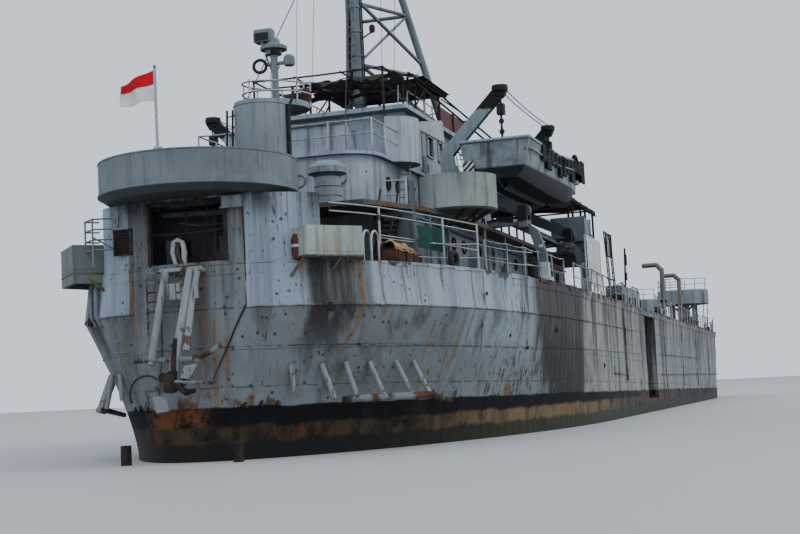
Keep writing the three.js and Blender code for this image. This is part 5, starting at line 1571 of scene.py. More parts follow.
        cage = Form()
        edge = stern_station(2.2, DECK)
        corners = [(edge - 0.1, 2.35), (edge - 0.25, 2.9), (edge + 0.2, 3.4)]
        for z in (8.32, 8.62, 8.92, 9.22):
            cage.tube([(s, y, z) for s, y in corners] + [(edge + 0.5, 3.1, z)], 0.026, 6)
        for s, y in corners[1:]:
            cage.tube([(s, y, 7.84), (s, y, 9.25)], 0.032, 6)
        cage.tube([(corners[1][0], corners[1][1], 8.7), (edge + 0.05, 2.2, 8.25)], 0.03, 6)
        for y in (3.3, 3.62):
            s = stern_station(y, 6.6) - 0.06
            cage.tube([(s + 0.2, y, 7.75), (s, y, 7.2), (s, y, 6.5), (s + 0.1, y - 0.1, 6.2)], 0.07, 8)
        make("port_cage_rails", cage, "mast")
        return {"FINISHED"}


class SHIP_OT_houses(bpy.types.Operator):
    """The deckhouses' finishes, doors, scuttles, pipes and ladders"""

    bl_idname = "landing_ship.houses"
    bl_label = "Deckhouses"

    def execute(self, context):
        # The main deckhouse gets the house paint darkened as painted shade under the boat deck.
        finish_nodes("wall", ["main_deckhouse"], 0.03)
        finish_nodes("bridge", ["bridge_deck", "upper_deckhouse", "wheelhouse"], 0.03)
        finish_nodes("deck", ["boat_deck"], 0.02)
        doors, frames, glass, pipes = Form(), Form(), Form(), Form()
        wall = HOUSE_WALL
        for s in (11.2, 19.0, 29.5):
            door(doors, s, s + 0.75, wall, 7.85, 9.45, -1)
        for s in (9.4, 10.3, 13.2, 14.6, 16.8, 21.2, 23.0, 24.8, 27.0, 32.0):
            porthole(frames, s, wall, 8.95, -1)
            glass.tube([(s, wall + 0.02, 8.95), (s, wall - 0.025, 8.95)], 0.19, 16)
        for s in (12.3, 17.9, 26.0):
            pipes.tube([(s, wall - 0.09, 7.7), (s, wall - 0.09, 9.6)], 0.06, 8)
        pipes.tube([(8.7, wall - 0.1, 9.4), (18.0, wall - 0.1, 9.36), (33.8, wall - 0.1, 9.4)], 0.045, 6)
        for s in (15.3, 20.4):
            pipes.box((s, s + 0.6), (wall - 0.3, wall), (8.1, 8.7))
        upper = UPPER_WALL
        door(doors, 14.2, 14.95, upper, 9.95, 11.6, -1)
        for s in (11.9, 13.0, 16.6, 18.4, 20.2, 22.0, 23.8, 25.4):
            porthole(frames, s, upper, 11.1, -1)
            glass.tube([(s, upper + 0.02, 11.1), (s, upper - 0.025, 11.1)], 0.19, 16)
        pipes.tube([(15.6, upper - 0.1, 9.82), (15.6, upper - 0.1, 11.85)], 0.07, 8)
        pipes.box((17.2, 18.0), (upper - 0.35, upper), (10.2, 10.9))
        ladder(pipes, (12.2, -3.25, 9.82), (12.8, -3.2, 12.05), (0.1, 1.0))
        ladder(pipes, (24.2, -2.5, 12.05), (22.9, -2.5, 14.5), (0, 1.0))
        for s in (9.9, 12.2, 15.4, 18.6, 21.8, 25.0):
            pipes.tube([(s, -5.3 if s > 13 else -4.85, 7.68), (s, -5.3 if s > 13 else -4.8, 9.66)], 0.06, 8)
        door(doors, 17.75, 18.45, -2.35, 12.1, 13.05, -1)
        both_sides("house_doors", doors, "mast", bevel=0.01)
        both_sides("scuttle_frames", frames, "dark")
        both_sides("scuttle_glass", glass, "glass")
        both_sides("house_pipes_and_ladders", pipes, "mast")

        panes, surrounds = Form(), Form()
        for s in (17.0, 18.6, 20.2):
            for y, out in ((-2.3, -1), (2.3, 1)):
                panes.box((s + 0.02, s + 0.78), (y - 0.02, y + 0.02), (13.17, 13.93))
                side = y + 0.06 * out
                for z in (13.11, 13.93):
                    surrounds.box((s - 0.05, s + 0.85), sorted((side, side + 0.05 * out)), (z, z + 0.06))
                for e in (s - 0.05, s + 0.79):
                    surrounds.box((e, e + 0.06), sorted((side, side + 0.05 * out)), (13.11, 13.99))
        for y in (-1.7, -0.85, 0.0, 0.85, 1.7):
            panes.box((22.33, 22.37), (y - 0.29, y + 0.29), (13.17, 13.93))
            for z in (13.1, 13.94):
                surrounds.box((22.4, 22.46), (y - 0.35, y + 0.35), (z, z + 0.06))
            surrounds.box((22.4, 22.46), (y - 0.36, y - 0.3), (13.1, 14.0))
            surrounds.box((22.4, 22.46), (y + 0.3, y + 0.36), (13.1, 14.0))
        make("wheelhouse_panes", panes, "glass")
        make("wheelhouse_window_frames", surrounds, "white")

        aft = Form()
        for y in (-1.6, -0.8, 0.0, 0.8, 1.6):
            aft.box((9.54, 9.6), (y - 0.03, y + 0.03), (12.0, 12.98))
        aft.box((9.52, 9.6), (-2.15, 2.15), (12.92, 13.0))
        for y in (-2.14, 2.1):
            aft.side_plate([(9.62, 12.0), (10.6, 12.0), (9.8, 12.95), (9.62, 12.98)], y, y + 0.04)
        for y in (-1.9, -0.4, 1.1):
            aft.wheel((9.6, y, 11.1), (1, 0, 0), 0.24, 0.17, 0.1, 18)
        aft.box((9.5, 9.62), (-0.35, 0.35), (9.95, 11.65))
        aft.box((15.5, 15.62), (-0.4, 0.4), (12.05, 13.85))
        make("after_bulwark_panels", aft, "house", bevel=0.01)

        boxes = Form()
        boxes.side_plate([(14.6, 13.45), (18.2, 13.5), (17.9, 14.35), (14.7, 13.75)], -3.22, -3.14)
        for s, z in ((14.8, 13.6), (18.0, 14.3)):
            boxes.tube([(s, -3.18, 12.0), (s, -3.18, z)], 0.05, 6)
        both_sides("bridge_side_screens", boxes, "white")
        return {"FINISHED"}


class SHIP_OT_tubs(bpy.types.Operator):
    """The side tubs, the forward tubs on their stands and the white-capped vent"""

    bl_idname = "landing_ship.tubs"
    bl_label = "Gun tubs and vent"

    def execute(self, context):
        side = Form()
        s, y, r, low, top = 11.4, -5.45, 1.3, BOAT_DECK + GAP, 11.0
        side.turned([(0.0, low), (r - 0.05, low), (r, low + 0.06), (r, top - 0.03), (r + 0.012, top),
                     (r - 0.1, top), (r - 0.1, low + 0.12), (0.0, low + 0.12)], s, y, 64)
        both_sides("side_tub_shell", side, "green", replaces=("side_gun_tub_{side}",))
        under = Form()
        for turn in (3.6, 4.2, 4.8, 5.4):
            x, w = around(s, y, 0.6, turn)
            under.tube([(x, w + 0.5, 9.3), (*around(s, y, 1.1, turn), low + 0.02)], 0.06, 6)
        both_sides("side_tub_brackets", under, "dark")

        def stand(s, y, r, floor, top):
            form = Form()
            form.turned([(0.0, floor), (r, floor), (r, top), (r - 0.1, top), (r - 0.1, floor + 0.14),
                         (0.0, floor + 0.14)], s, y, 40)
            form.turned([(0.5, DECK + GAP), (0.5, floor + 0.02)], s, y, 24)
            for i in range(4):
                turn = (i + 0.5) * math.pi / 2
                x, w = around(s, y, r * 0.62, turn)
                form.tube([(x, w, DECK + GAP), (x, w, floor + 0.1)], 0.14, 10)
            return form

        both_sides("forward_tub_shell", stand(82.0, -5.5, 2.05, 9.95, 11.1), "house",
                   replaces=("forward_gun_tub_{side}",))
        make("bow_tub_shell", stand(91.5, 0.0, 2.2, 9.9, 11.1), "house", replaces=("bow_gun_tub",))
        braces = Form()
        for i in range(4):
            a, b = ((i + 0.5) * math.pi / 2, (i + 1.5) * math.pi / 2)
            braces.tube([(*around(82.0, -5.5, 1.27, a), 7.9), (*around(82.0, -5.5, 1.27, b), 9.9)], 0.07, 8)
        ladder(braces, (80.2, -5.5, DECK), (79.95, -5.5, 11.0), (0, 1.0))
        both_sides("forward_tub_braces", braces, "rust")
        rails = Form()
        for (s, y, r) in ((82.0, -5.5, 1.98), (82.0, 5.5, 1.98), (91.5, 0.0, 2.12)):
            for z in (11.55, 12.0):
                rails.tube([(*around(s, y, r, t), z + 0.03 * math.sin(t * 3)) for t in turns(28)[:22]],
                           0.028, 6)
            for i in range(8):
                post = around(s, y, r, 2 * math.pi * i / 10)
                rails.tube([(*post, 11.05), (*post, 12.0)], 0.03, 6)
        make("forward_tub_rails", rails, "mast")

        vent = Form()
        s, y = 7.2, -2.3
        vent.turned([(0.0, 9.803), (0.5, 9.803), (0.5, 9.85), (0.42, 9.9), (0.42, 10.72), (0.46, 10.78),
                     (0.62, 10.84), (0.63, 11.02), (0.58, 11.08), (0.35, 11.24), (0.0, 11.3)], s, y, 40)
        for z in (10.1, 10.4):
            vent.turned([(0.42, z), (0.45, z + 0.02), (0.42, z + 0.04)], s, y, 40, ring=True)
        make("mushroom_vent_shell", vent, "pale", replaces=("mushroom_vent",))
        return {"FINISHED"}


class SHIP_OT_rails(bpy.types.Operator):
    """The bent and broken rails, bitts, locker and cloths along the main deck, and the bridge rails"""

    bl_idname = "landing_ship.rails"
    bl_label = "Rails and deck gear"

    def execute(self, context):
        look = context.scene.deck_look
        chance = random.Random(look.seed + 4)
        edge = Form()

        def edge_path(s0, s1, step, inset=0.16):
            count = round((s1 - s0) / step)
            stations = [s0 + (s1 - s0) * i / count for i in range(count + 1)]
            return [(s, inset - half_breadth(s, DECK), DECK) for s in stations]

        for stretch, wires, gap, broken, sag in (((10.6, 39.6, 1.8), (0.5,), 2.0, 0.14, 0.04),
                                                 ((46.2, 80.0, 1.9), (0.5,), 2.2, 0.3, 0.06),
                                                 ((83.5, 96.5, 1.5), (0.35, 0.7), 1.6, 0.2, 0.02)):
            rail_run(edge, edge_path(*stretch), look.rail_height, look.rail_radius, chance, wires, gap,
                     broken, sag)
        both_sides("deck_edge_rails", edge, "worn")

        tall = Form()
        feet = [(6.3, -4.25, 9.5), (9.0, -5.5, 9.35), (10.3, -6.3, 9.2)]
        for s, y, top in feet:
            tall.tube([(s, y, DECK), (s, y, top)], 0.038, 8)
        for drop in (0.0, 0.24, 0.85):
            start = [(4.0, -3.5, 9.45 - drop)] if drop < 0.5 else []
            tall.tube(rise_curve(start + [(s, y, top - drop) for s, y, top in feet], 4), 0.026, 6)
        tall.tube(sagging((4.0, -3.5, 9.45), (5.1, -3.1, 9.35), 0.1, 5), 0.024, 6)
        for low in (0.45, 0.9):
            tall.tube(sagging((10.3, -6.3, DECK + low), (14.6, -7.2, DECK + low), 0.05, 6), 0.02, 6)
            tall.tube(sagging((6.3, -4.25, DECK + low), (10.3, -6.3, DECK + low), 0.08, 6), 0.02, 6)
        for s, y in ((4.75, -4.35), (5.05, -4.5)):
            arch = [(s + 0.34 * math.cos(t), y, DECK + 0.62 + 0.34 * math.sin(t)) for t in
                    (math.pi * i / 8 for i in range(9))]
            tall.tube([(s + 0.34, y, DECK), *arch, (s - 0.34, y, DECK)], 0.035, 8)
        both_sides("quarter_rails", tall, "white")

        stair = Form()
        ladder(stair, (7.2, -3.9, DECK + 0.02), (8.7, -3.95, 9.7), (0, 1.0), 0.26, 0.3, 0.05)
        stair.tube([(7.0, -4.25, 8.5), (7.9, -4.3, 9.6), (8.3, -4.3, 10.5)], 0.035, 6)
        stair.tube([(7.3, -3.6, 8.6), (8.6, -3.6, 10.4)], 0.035, 6)
        for s in (15.7, 16.5, 38.0, 38.8, 52.0, 52.8, 76.0, 76.8):
            stair.drum(s, -6.95, 0.17, DECK, DECK + 0.62, 14)
            stair.drum(s, -6.95, 0.22, DECK + 0.6, DECK + 0.68, 14)
        for s in (16.1, 38.4, 52.4, 76.4):
            stair.box((s - 0.75, s + 0.75), (-7.25, -6.65), (DECK, DECK + 0.08))
        stair.wheel((8.7, -5.9, DECK + 0.3), (0.2, 1, 0), 0.3, 0.14, 0.2, 18)
        both_sides("bitts_and_stair", stair, "dark")

        locker = Form()
        locker.box((5.5, 8.1), (-5.02, -4.4), (DECK, DECK + 0.42))
        locker.box((5.7, 7.7), (-4.95, -4.45), (DECK + 0.4, DECK + 0.52))
        for s in (5.6, 6.4, 7.2, 7.9):
            locker.box((s, s + 0.08), (-5.06, -4.36), (DECK, DECK + 0.44))
        both_sides("deck_locker", locker, "rust")
        top = DECK + 0.545
        for side, sign in SIDES.items():
            heap = []
            for r in range(19):
                s = 5.62 + 2.16 * r / 18
                row = []
                for c in range(11):
                    t = c / 10 * 2 - 1
                    z = top + 0.16 * (1 - t * t) * (0.4 + abs(math.sin(s * 2.9))) + 0.03 * math.sin(s * 9 + c)
                    row.append((s, sign * (4.7 + 0.27 * t), z - 0.12 * max(0.0, abs(t) - 0.8) * 5))
                heap.append(row)
            cloth(f"locker_canvas_{side}", heap, "canvas")
            hung = [[(7.6 + 1.5 * c / 14, sign * (5.05 + 0.45 * c / 14 + 0.05 * math.sin(c * 1.1 + r * 0.3)),
                      9.02 - 0.68 * r / 8 - 0.1 * (r / 8) * (c / 14)) for c in range(15)] for r in range(9)]
            cloth(f"rail_cloth_{side}", hung, "net")

        bridge = Form()
        rail_run(bridge, [(9.3, 0.0, BRIDGE), (9.3, -3.15, BRIDGE), (13.6, -3.2, BRIDGE)],
                 0.95, 0.03, chance, (0.5,), 1.3, 0.0, 0.02)
        rail_run(bridge, [(9.0, -3.6, 9.8), (9.1, -4.3, 9.8)], 0.95, 0.03, chance, (0.5,), 0.8)
        rail_run(bridge, [(15.8, -2.1, 14.55), (21.8, -2.1, 14.55), (22.1, -0.4, 14.55)], 0.95, 0.025,
                 chance, (0.5,), 1.1)
        both_sides("bridge_rails", bridge, "white")
        return {"FINISHED"}


class SHIP_OT_mast(bpy.types.Operator):
    """The tripod mast with its ladder, cables, lamps and stays, and the aerial at its top"""

    bl_idname = "landing_ship.mast"
    bl_label = "Mast and aerial"

    def execute(self, context):
        chance = random.Random(context.scene.deck_look.seed + 5)
        finish_nodes("mast", ["tripod_mast"], 0.01)
        finish_nodes("dark", ["radar_aerial"], 0.01)
        gear, dark, wires = Form(), Form(), Form()
        ladder(gear, (17.14, 0.1, 14.6), (17.14, 0.1, 24.4), (0, 1.0), 0.34)
        for i in range(10):
            z = 15.2 + i * 0.98
            gear.turned([(0.22, z), (0.25, z + 0.02), (0.25, z + 0.08), (0.22, z + 0.1)], 17.5, 0.0, 18,
                        ring=True)
            gear.tube([(17.3, 0.1, z + 0.05), (17.12, 0.1, z + 0.05)], 0.02, 6)
        rail_run(gear, [(19.5, -1.2, 24.6), (16.5, -1.2, 24.6), (16.5, 1.2, 24.6), (19.5, 1.2, 24.6)],
                 0.95, 0.025, chance, (0.5,), 1.0)
        gear.tube([(17.5, -0.2, 17.9), (17.2, -0.75, 18.05)], 0.035, 6)
        gear.tube([(17.5, 0.2, 21.0), (17.1, 0.7, 21.1)], 0.035, 6)
        for side in (-1, 1):
            gear.tube([(17.5, 0.25 * side, 19.3), (21.15, 1.64 * side, 17.4)], 0.075, 8)
            gear.tube([(17.5, 0.25 * side, 16.7), (22.15, 2.1 * side, 14.9)], 0.075, 8)
        for y in (-0.12, -0.2, -0.28):
            dark.tube([(17.36 - y * 0.3, y, 14.6), (17.34 - y * 0.3, y, 19.5), (17.36 - y * 0.3, y, 24.4)],
                      0.03, 6)
        for s, y, z in ((17.2, -0.75, 18.0), (17.1, 0.7, 21.05), (16.6, 0.0, 24.7), (17.5, 0.16, 29.2)):
            dark.turned([(0.0, z), (0.09, z + 0.02), (0.12, z + 0.1), (0.12, z + 0.26), (0.05, z + 0.34),
                         (0.0, z + 0.35)], s, y, 14)
        for y in (-2.1, 2.1):
            wires.tube([(17.5, 0.08 if y > 0 else -0.08, 24.2), (9.7, y, 13.0)], 0.02, 5)
            wires.tube([(17.5, y, 27.1), (15.6, y * 0.95, 14.6)], 0.012, 5)
            wires.tube([(17.5, y * 0.6, 27.1), (15.9, y * 0.7, 14.6)], 0.012, 5)
            wires.tube([(17.5, 0.0, 29.4), (17.5, y, 27.25)], 0.014, 5)
        make("mast_ladder_and_rails", gear, "mast")
        make("mast_cables_and_lamps", dark, "dark")
        make("mast_stays", wires, "wire")
        slats = Form()
        for i in range(9):
            y = -0.92 + i * 0.23
            slats.box((18.94, 18.97), (y - 0.02, y + 0.02), (25.3, 25.55))
        slats.box((18.93, 18.95), (-1.0, 1.0), (25.4, 25.44))
        make("aerial_slats", slats, "white", body="radar_aerial", slot="mast_paint")
        return {"FINISHED"}


class SHIP_OT_awnings(bpy.types.Operator):
    """The torn awning over the bridge, the dark canopy forward and the panels beside them"""

    bl_idname = "landing_ship.awnings"
    bl_label = "Awnings"

    def execute(self, context):
        bars = Form()
        for s in (12.8, 15.2, 16.8):
            for y in (-2.5, 2.5):
                bars.tube([(s, y, 12.003 if s < 13 else 14.546), (s, y, 15.5)], 0.045, 8)
        for y in (-2.5, -0.9, 0.9, 2.5):
            bars.tube(sagging((12.8, y, 15.5), (16.9, y, 15.62), 0.05, 4), 0.035, 6)
        for s in (12.8, 14.1, 15.4, 16.85):
            bars.tube(sagging((s, -2.55, 15.5), (s, 2.55, 15.5), 0.04, 4), 0.035, 6)
        make("bridge_awning_frame", bars, "dark", replaces=("bridge_awning",))

        def torn(shift, limit):
            return lambda r, c: noise.noise(Vector((r * 0.31, c * 0.27, shift))) < limit

        def ragged_aft(r, c):
            return torn(5.0, 0.27)(r, c) and r > 3 + 3 * abs(math.sin(c * 0.9)) and not (r < 12 and c > 20)

        grid = [[(12.75 + 4.2 * r / 24, -2.6 + 5.2 * c / 28,
                  15.56 - 0.3 * abs(math.sin(math.pi * r / 8)) * abs(math.sin(math.pi * c / 9.3))
                  - 0.45 * max(0.0, 1 - r / 7) ** 2 + 0.02 * math.sin(c * 1.7 + r)) for c in range(29)]
                  for r in range(25)]
        cloth("bridge_awning_cloth", grid, "tarp", ragged_aft)

        roof = Form()
        for s in (17.4, 19.6, 21.8):
            for y in (-2.05, 2.05):
                roof.tube([(s, y, 14.55), (s, y, 16.2)], 0.05, 8)
            roof.tube([(s, -2.3, 16.2), (s, 2.3, 16.2)], 0.045, 6)
        for y in (-2.2, -0.7, 0.7, 2.2):
            roof.tube([(17.0, y, 16.2), (22.4, y, 16.2)], 0.045, 6)
        for y in (-2.35, 2.35):
            out = math.copysign(4.9, y)
            roof.tube([(20.5, y, 16.1), (22.6, out, 13.5)], 0.04, 6)
            roof.tube([(17.4, y, 15.9), (20.5, out, 13.3)], 0.04, 6)
            roof.tube([(20.5, out, 13.3), (22.6, out, 13.5)], 0.04, 6)
            roof.tube([(17.4, y * 0.9, 14.6), (19.6, y * 0.9, 16.1)], 0.035, 6)
            for k in (0.3, 0.6):
                roof.tube([(20.5 - 3.1 * (1 - k), mix(y, out, k), 16.1 - 2.7 * k),
                           (20.5 + 2.1 * k, mix(y, out, k), 16.1 - 2.6 * k)], 0.03, 6)
        roof.box((19.0, 22.3), (-2.3, 1.6), (16.24, 16.3))
        make("bridge_roof_frame", roof, "dark")
        grid = [[(17.0 + 5.4 * r / 24, -2.4 + 4.8 * c / 24,
                  16.34 - 0.14 * abs(math.sin(math.pi * r / 8)) * abs(math.sin(math.pi * c / 8))
                  - (0.35 * (1 - r / 4) if r < 4 else 0.0)) for c in range(25)] for r in range(25)]
        cloth("bridge_roof_cloth", grid, "tarp", torn(9.0, 0.3))
        panel = Form()
        panel.box((20.4, 24.6), (-2.42, -2.36), (14.55, 15.5))
        panel.box((20.4, 24.6), (2.36, 2.42), (14.55, 15.5))
        for y in (-2.45, 2.45):
            for s in (20.4, 22.5, 24.5):
                panel.box((s, s + 0.08), (y - 0.04, y + 0.04), (14.45, 15.6))
        make("red_side_panels", panel, "redbrown")

        bars = Form()
        foot, head = BOAT_DECK + GAP, 12.38
        for y in (-6.2, 6.2):
            for s in (27.7, 28.9, 31.0, 32.2, 34.3):
                lean = 0.12 * math.sin(s * 3.0)
                bars.tube([(s + lean, y, foot), (s, y, head)], 0.055, 8)
            bars.tube(sagging((27.6, y, head), (34.4, y, head), 0.05, 6), 0.05, 6)
            bars.tube([(27.7, y, 10.75), (34.3, y, 10.8)], 0.03, 6)
        for s in (27.7, 29.4, 31.0, 32.7, 34.3):
            bars.tube(sagging((s, -6.25, head), (s, 6.25, head), 0.05, 6), 0.045, 6)
            for y in (-2.7, 2.7):
                bars.tube([(s, y, foot), (s, y, 12.36)], 0.05, 6)
        make("forward_awning_frame", bars, "dark", replaces=("forward_awning",))
        grid = []
        for r in range(31):
            row = []
            for c in range(45):
                droop = 0.3 * max(0.0, 1 - min(c, 44 - c) / 2.0) * (0.5 + abs(math.sin(r * 1.3)))
                # The aft edge hangs low as a dark skirt, which stands in for the shade under the boats
                # (painted shade).
                droop += 0.75 * max(0.0, 1 - r / 3) ** 2 * (0.6 + 0.4 * abs(math.sin(c * 0.8)))
                row.append((27.5 + 7.0 * r / 30, -6.35 + 12.7 * c / 44,
                            12.5 - 0.16 * abs(math.sin(math.pi * r / 7.5))
                            * abs(math.sin(math.pi * c / 11)) - droop))
            grid.append(row)
        cloth("forward_awning_cloth", grid, "tarp", torn(14.0, 0.5))

        boxes, rack = Form(), Form()
        boxes.box((27.3, 28.8), (-6.95, -5.5), (10.2, 11.25))
        for s in (27.5, 28.5):
            boxes.box((s, s + 0.12), (-6.9, -5.6), (9.8, 10.22))
        boxes.box((30.6, 31.8), (-6.6, -5.7), (9.85, 10.9))
        for s in (27.27, 28.75):
            boxes.box((s, s + 0.08), (-7.0, -5.45), (10.17, 11.3))
        both_sides("boat_deck_lockers", boxes, "mast", bevel=0.02)
        for s in (32.4, 33.9):
            ladder(rack, (s, -7.2, DECK), (s, -7.05, 11.1), (1.0, 0), 0.4, 0.25, 0.03)
        for z in (8.8, 9.9, 11.0):
            rack.tube([(32.1, -7.1, z), (34.3, -7.08, z + 0.05)], 0.035, 6)
        for i in range(6):
            rack.tube([(32.2 + i * 0.36, -7.12, 9.9), (32.3 + i * 0.36, -7.1, 11.0)], 0.022, 6)
        both_sides("boat_deck_racks", rack, "dark")
        line = Form()
        line.tube([(25.2, -7.3, 10.2), (29.0, -7.3, 10.2)], 0.03, 6)
        for s in (25.2, 27.1, 29.0):
            line.tube([(s, -7.3, DECK), (s, -7.3, 10.25)], 0.04, 6)
        both_sides("sheet_rail", line, "white")
        for side, sign in SIDES.items():
            hung = [[(25.4 + 3.4 * c / 20, sign * (7.36 + 0.05 * math.sin(c * 1.2) * (0.4 + r / 14)),
                      10.24 - 2.05 * r / 14 - 0.3 * (c / 20) * (r / 14)) for c in range(21)]
                      for r in range(15)]
            cloth(f"white_sheet_{side}", hung, "sheet")
        return {"FINISHED"}


class SHIP_OT_davits(bpy.types.Operator):
    """The davits' finish, their white feet, tackle and the wires between their heads"""

    bl_idname = "landing_ship.davits"
    bl_label = "Davits"

    def execute(self, context):
        # The frames' finish holds painted shadow above 9.95 and painted shade in its dark grey.
        finish_nodes("frame", [f"davit_frame_{side}" for side in SIDES], 0.02)
        outer = [(-6.68, 10.54), (-5.3, 11.19), (-4.3, 11.84), (-4.03, 12.38), (-4.0, 12.66), (-6.09, 14.79)]
        inner = [(-5.75, 15.11), (-3.52, 12.84), (-3.5, 12.1), (-3.93, 11.54), (-5.1, 10.81), (-6.52, 10.16)]
        for s, end in zip(DAVIT_STATIONS, ("aft", "forward")):
            arm = Form().cross_plate(outer + inner, s - 0.15, s + 0.15)
            for y, z, r, half in ((*DAVIT_PIVOT, 0.25, 0.17), (*DAVIT_PIVOT, 0.12, 0.22),
                                  (HEAD["y"], HEAD["z"], HEAD["r"], 0.17)):
                arm.tube([(s - half, y, z), (s + half, y, z)], r, 20)
            both_sides(f"davit_beam_{end}", arm, "davit", body="davits_{side}",
                       replaces=(f"davit_arm_{end}_{{side}}",), bevel=0.015)
        feet, tackle, wires = Form(), Form(), Form()
        for s in DAVIT_STATIONS:
            feet.box((s - 0.35, s + 0.35), (-7.5, -6.95), (DECK, DECK + 0.14))
            feet.box((s - 0.2, s + 0.2), (-7.42, -7.02), (DECK + 0.1, DECK + 0.7))
            for y, z in ((-7.2, 9.0), (-6.3, 10.02)):
                feet.box((s - 0.2, s + 0.2), (y - 0.06, y + 0.1), (z - 0.1, z + 0.02))
            tackle.turned([(0.0, 14.94), (0.3, 14.94), (0.32, 15.05), (0.3, 15.16), (0.0, 15.16)], s,
                          HEAD["y"], 16)
            for y in (-0.12, 0.12):
                tackle.wheel((s, HEAD["y"] + y, 14.86), (0, 1, 0), 0.2, 0.07, 0.1, 16)
            for k in (-0.1, 0.1):
                wires.tube([(s + k, HEAD["y"], 14.72), (s + k, HEAD["y"], 14.5)], 0.02, 5)
            wires.tube([(s, HEAD["y"] + 0.3, 14.9), (s, -4.15, 12.9), (s, -4.6, 11.55), (s, -6.3, 10.75)],
                       0.02, 5)
        for y in (-0.1, 0.1):
            wires.tube(sagging((16.5, HEAD["y"] + y, 15.12), (25.5, HEAD["y"] + y, 15.12), 0.1, 8), 0.022, 5)
        both_sides("davit_feet", feet, "white", bevel=0.02)
        both_sides("davit_heads", tackle, "black", body="davits_{side}")
        both_sides("davit_wires", wires, "wire", body="davits_{side}")
        return {"FINISHED"}


class SHIP_OT_boats(bpy.types.Operator):
    """The two landing boats in the davits, with their fenders, engine boxes and slings"""

    bl_idname = "landing_ship.boats"
    bl_label = "Landing boats"

    def execute(self, context):
        chance = random.Random(context.scene.deck_look.seed + 6)
        centre, half, low, top = HEAD["y"], 1.3, 11.45, 12.85
        aft, fine, fore = 15.1, 23.6, 26.9
        rise_at = [(aft, 0.0, 0.0), (21.0, 0.15, 0.0), (24.3, 0.45, 0.1), (fore, 0.75, 0.5)]

        def drawn_in(s):
            """0 as far as the boat's side is straight, 1 at her bow."""
            return max(0.0, (s - fine) / (fore - fine)) ** 1.5

        def sheer(s, rim):
            for (a, hi_a, lo_a), (b, hi_b, lo_b) in zip(rise_at, rise_at[1:]):
                if s <= b:
                    t = max(0.0, (s - a) / (b - a))
                    return mix(hi_a, hi_b, t) if rim else mix(lo_a, lo_b, t)
            return 0.75 if rim else 0.5

        def ring(rise, spread, cut, wall, rim):
            end = fore - 1.6 * cut - wall
            loop = []
            for i in range(19):
                s = aft + wall + (end - aft - wall) * i / 18
                wide = half * spread * (1 - 0.28 * drawn_in(s)) - wall
                loop.append((s, wide, low + rise * (top - low) + sheer(s, rim)))
            return [(s, centre - w, z) for s, w, z in loop] + [(s, centre + w, z) for s, w, z in loop[::-1]]

        shell = [ring(0.0, 0.62, 0.9, 0, False), ring(0.14, 0.78, 0.75, 0, False),
                 ring(0.4, 0.9, 0.3, 0, False), ring(0.7, 0.95, 0.12, 0, True), ring(1.0, 1.0, 0.0, 0, True),
                 ring(1.0, 1.0, 0.0, 0.1, True), ring(0.2, 0.86, 0.75, 0.12, False)]
        hull = Form().loft(shell)
        hull.side_plate([(17.0, 11.5), (24.0, 11.5), (23.0, 11.3), (16.0, 11.16)], centre - 0.06,
                        centre + 0.06)
        both_sides("landing_boat_hull", hull, "boat", body="boat_{side}",
                   replaces=("landing_boat_{side}",), sharp=25)

        wood, rubber, iron = Form(), Form(), Form()
        for out in (-1, 1):
            rim = [(s, centre + out * (half - 0.02) * (1 - 0.28 * drawn_in(s)), top + sheer(s, True) + 0.02)
                   for s in (15.15 + 11.7 * i / 16 for i in range(17))]
            wood.tube(rim, 0.07, 8)
            wood.tube([(s, y + out * 0.03, z - 0.42) for s, y, z in rim], 0.04, 6)
        wood.tube([(aft, centre - half, top + 0.02), (aft, centre + half, top + 0.02)], 0.07, 8)
        wood.box((17.4, 19.4), (centre - 0.6, centre + 0.6), (11.75, 12.75))
        wood.box((15.3, 16.2), (centre - 1.15, centre + 1.15), (12.5, 12.6))
        for s in DAVIT_STATIONS:
            wood.box((s - 0.15, s + 0.15), (centre - 1.2, centre + 1.2), (12.45, 12.62))
        wood.box((26.55, 26.75), (centre - 0.85, centre + 0.85), (12.2, 13.5))
        wood.box((19.5, 19.6), (centre - 0.9, centre - 0.2), (12.2, 13.1))
        both_sides("landing_boat_woodwork", wood, "pale", body="boat_{side}", slot="boat_paint", bevel=0.01)
        y = centre - half
        for i in range(11):
            s = 17.3 + i * 0.86
            drop = 0.5 + 0.55 * chance.random()
            high = top + sheer(s, True) + 0.06
            rubber.box((s, s + 0.5 + 0.28 * chance.random()), (y - 0.06 + 0.004 * i, y + 0.03 + 0.004 * i),
                       (high - drop, high))
        for s, z, r in ((18.2, 13.02, 0.3), (24.6, 13.3, 0.34), (26.3, 12.95, 0.36), (21.3, 12.8, 0.28)):
            rubber.wheel((s, y - 0.03 + 0.36 * drawn_in(s), z), (0.1, 1, 0), r, r * 0.5, 0.18, 18)
        for s in DAVIT_STATIONS:
            iron.tube([(s, centre, 12.62), (s, centre, 14.04)], 0.045, 8)
            for k in range(4):
                iron.wheel((s, centre, 13.2 + k * 0.2), (k % 2, 1 - k % 2, 0), 0.11, 0.05, 0.05, 12)
            iron.box((s - 0.16, s + 0.16), (centre - 0.14, centre + 0.14), (14.05, 14.45))
            iron.wheel((s, centre, 14.56), (0, 1, 0), 0.14, 0.07, 0.06, 14)
        iron.tube([(16.2, centre, 11.2), (15.4, centre, 11.4), (15.2, centre, 11.5)], 0.06, 8)
        both_sides("landing_boat_rubber", rubber, "rubber", body="boat_{side}")
        both_sides("landing_boat_slings", iron, "black", body="boat_{side}")
        fender = Form()
        fender.box((15.02, 15.12), (centre + 0.8, centre + 1.22), (11.55, 12.14))
        both_sides("hazard_fender", fender, "hazard", body="boat_{side}", bevel=0.02)
        return {"FINISHED"}


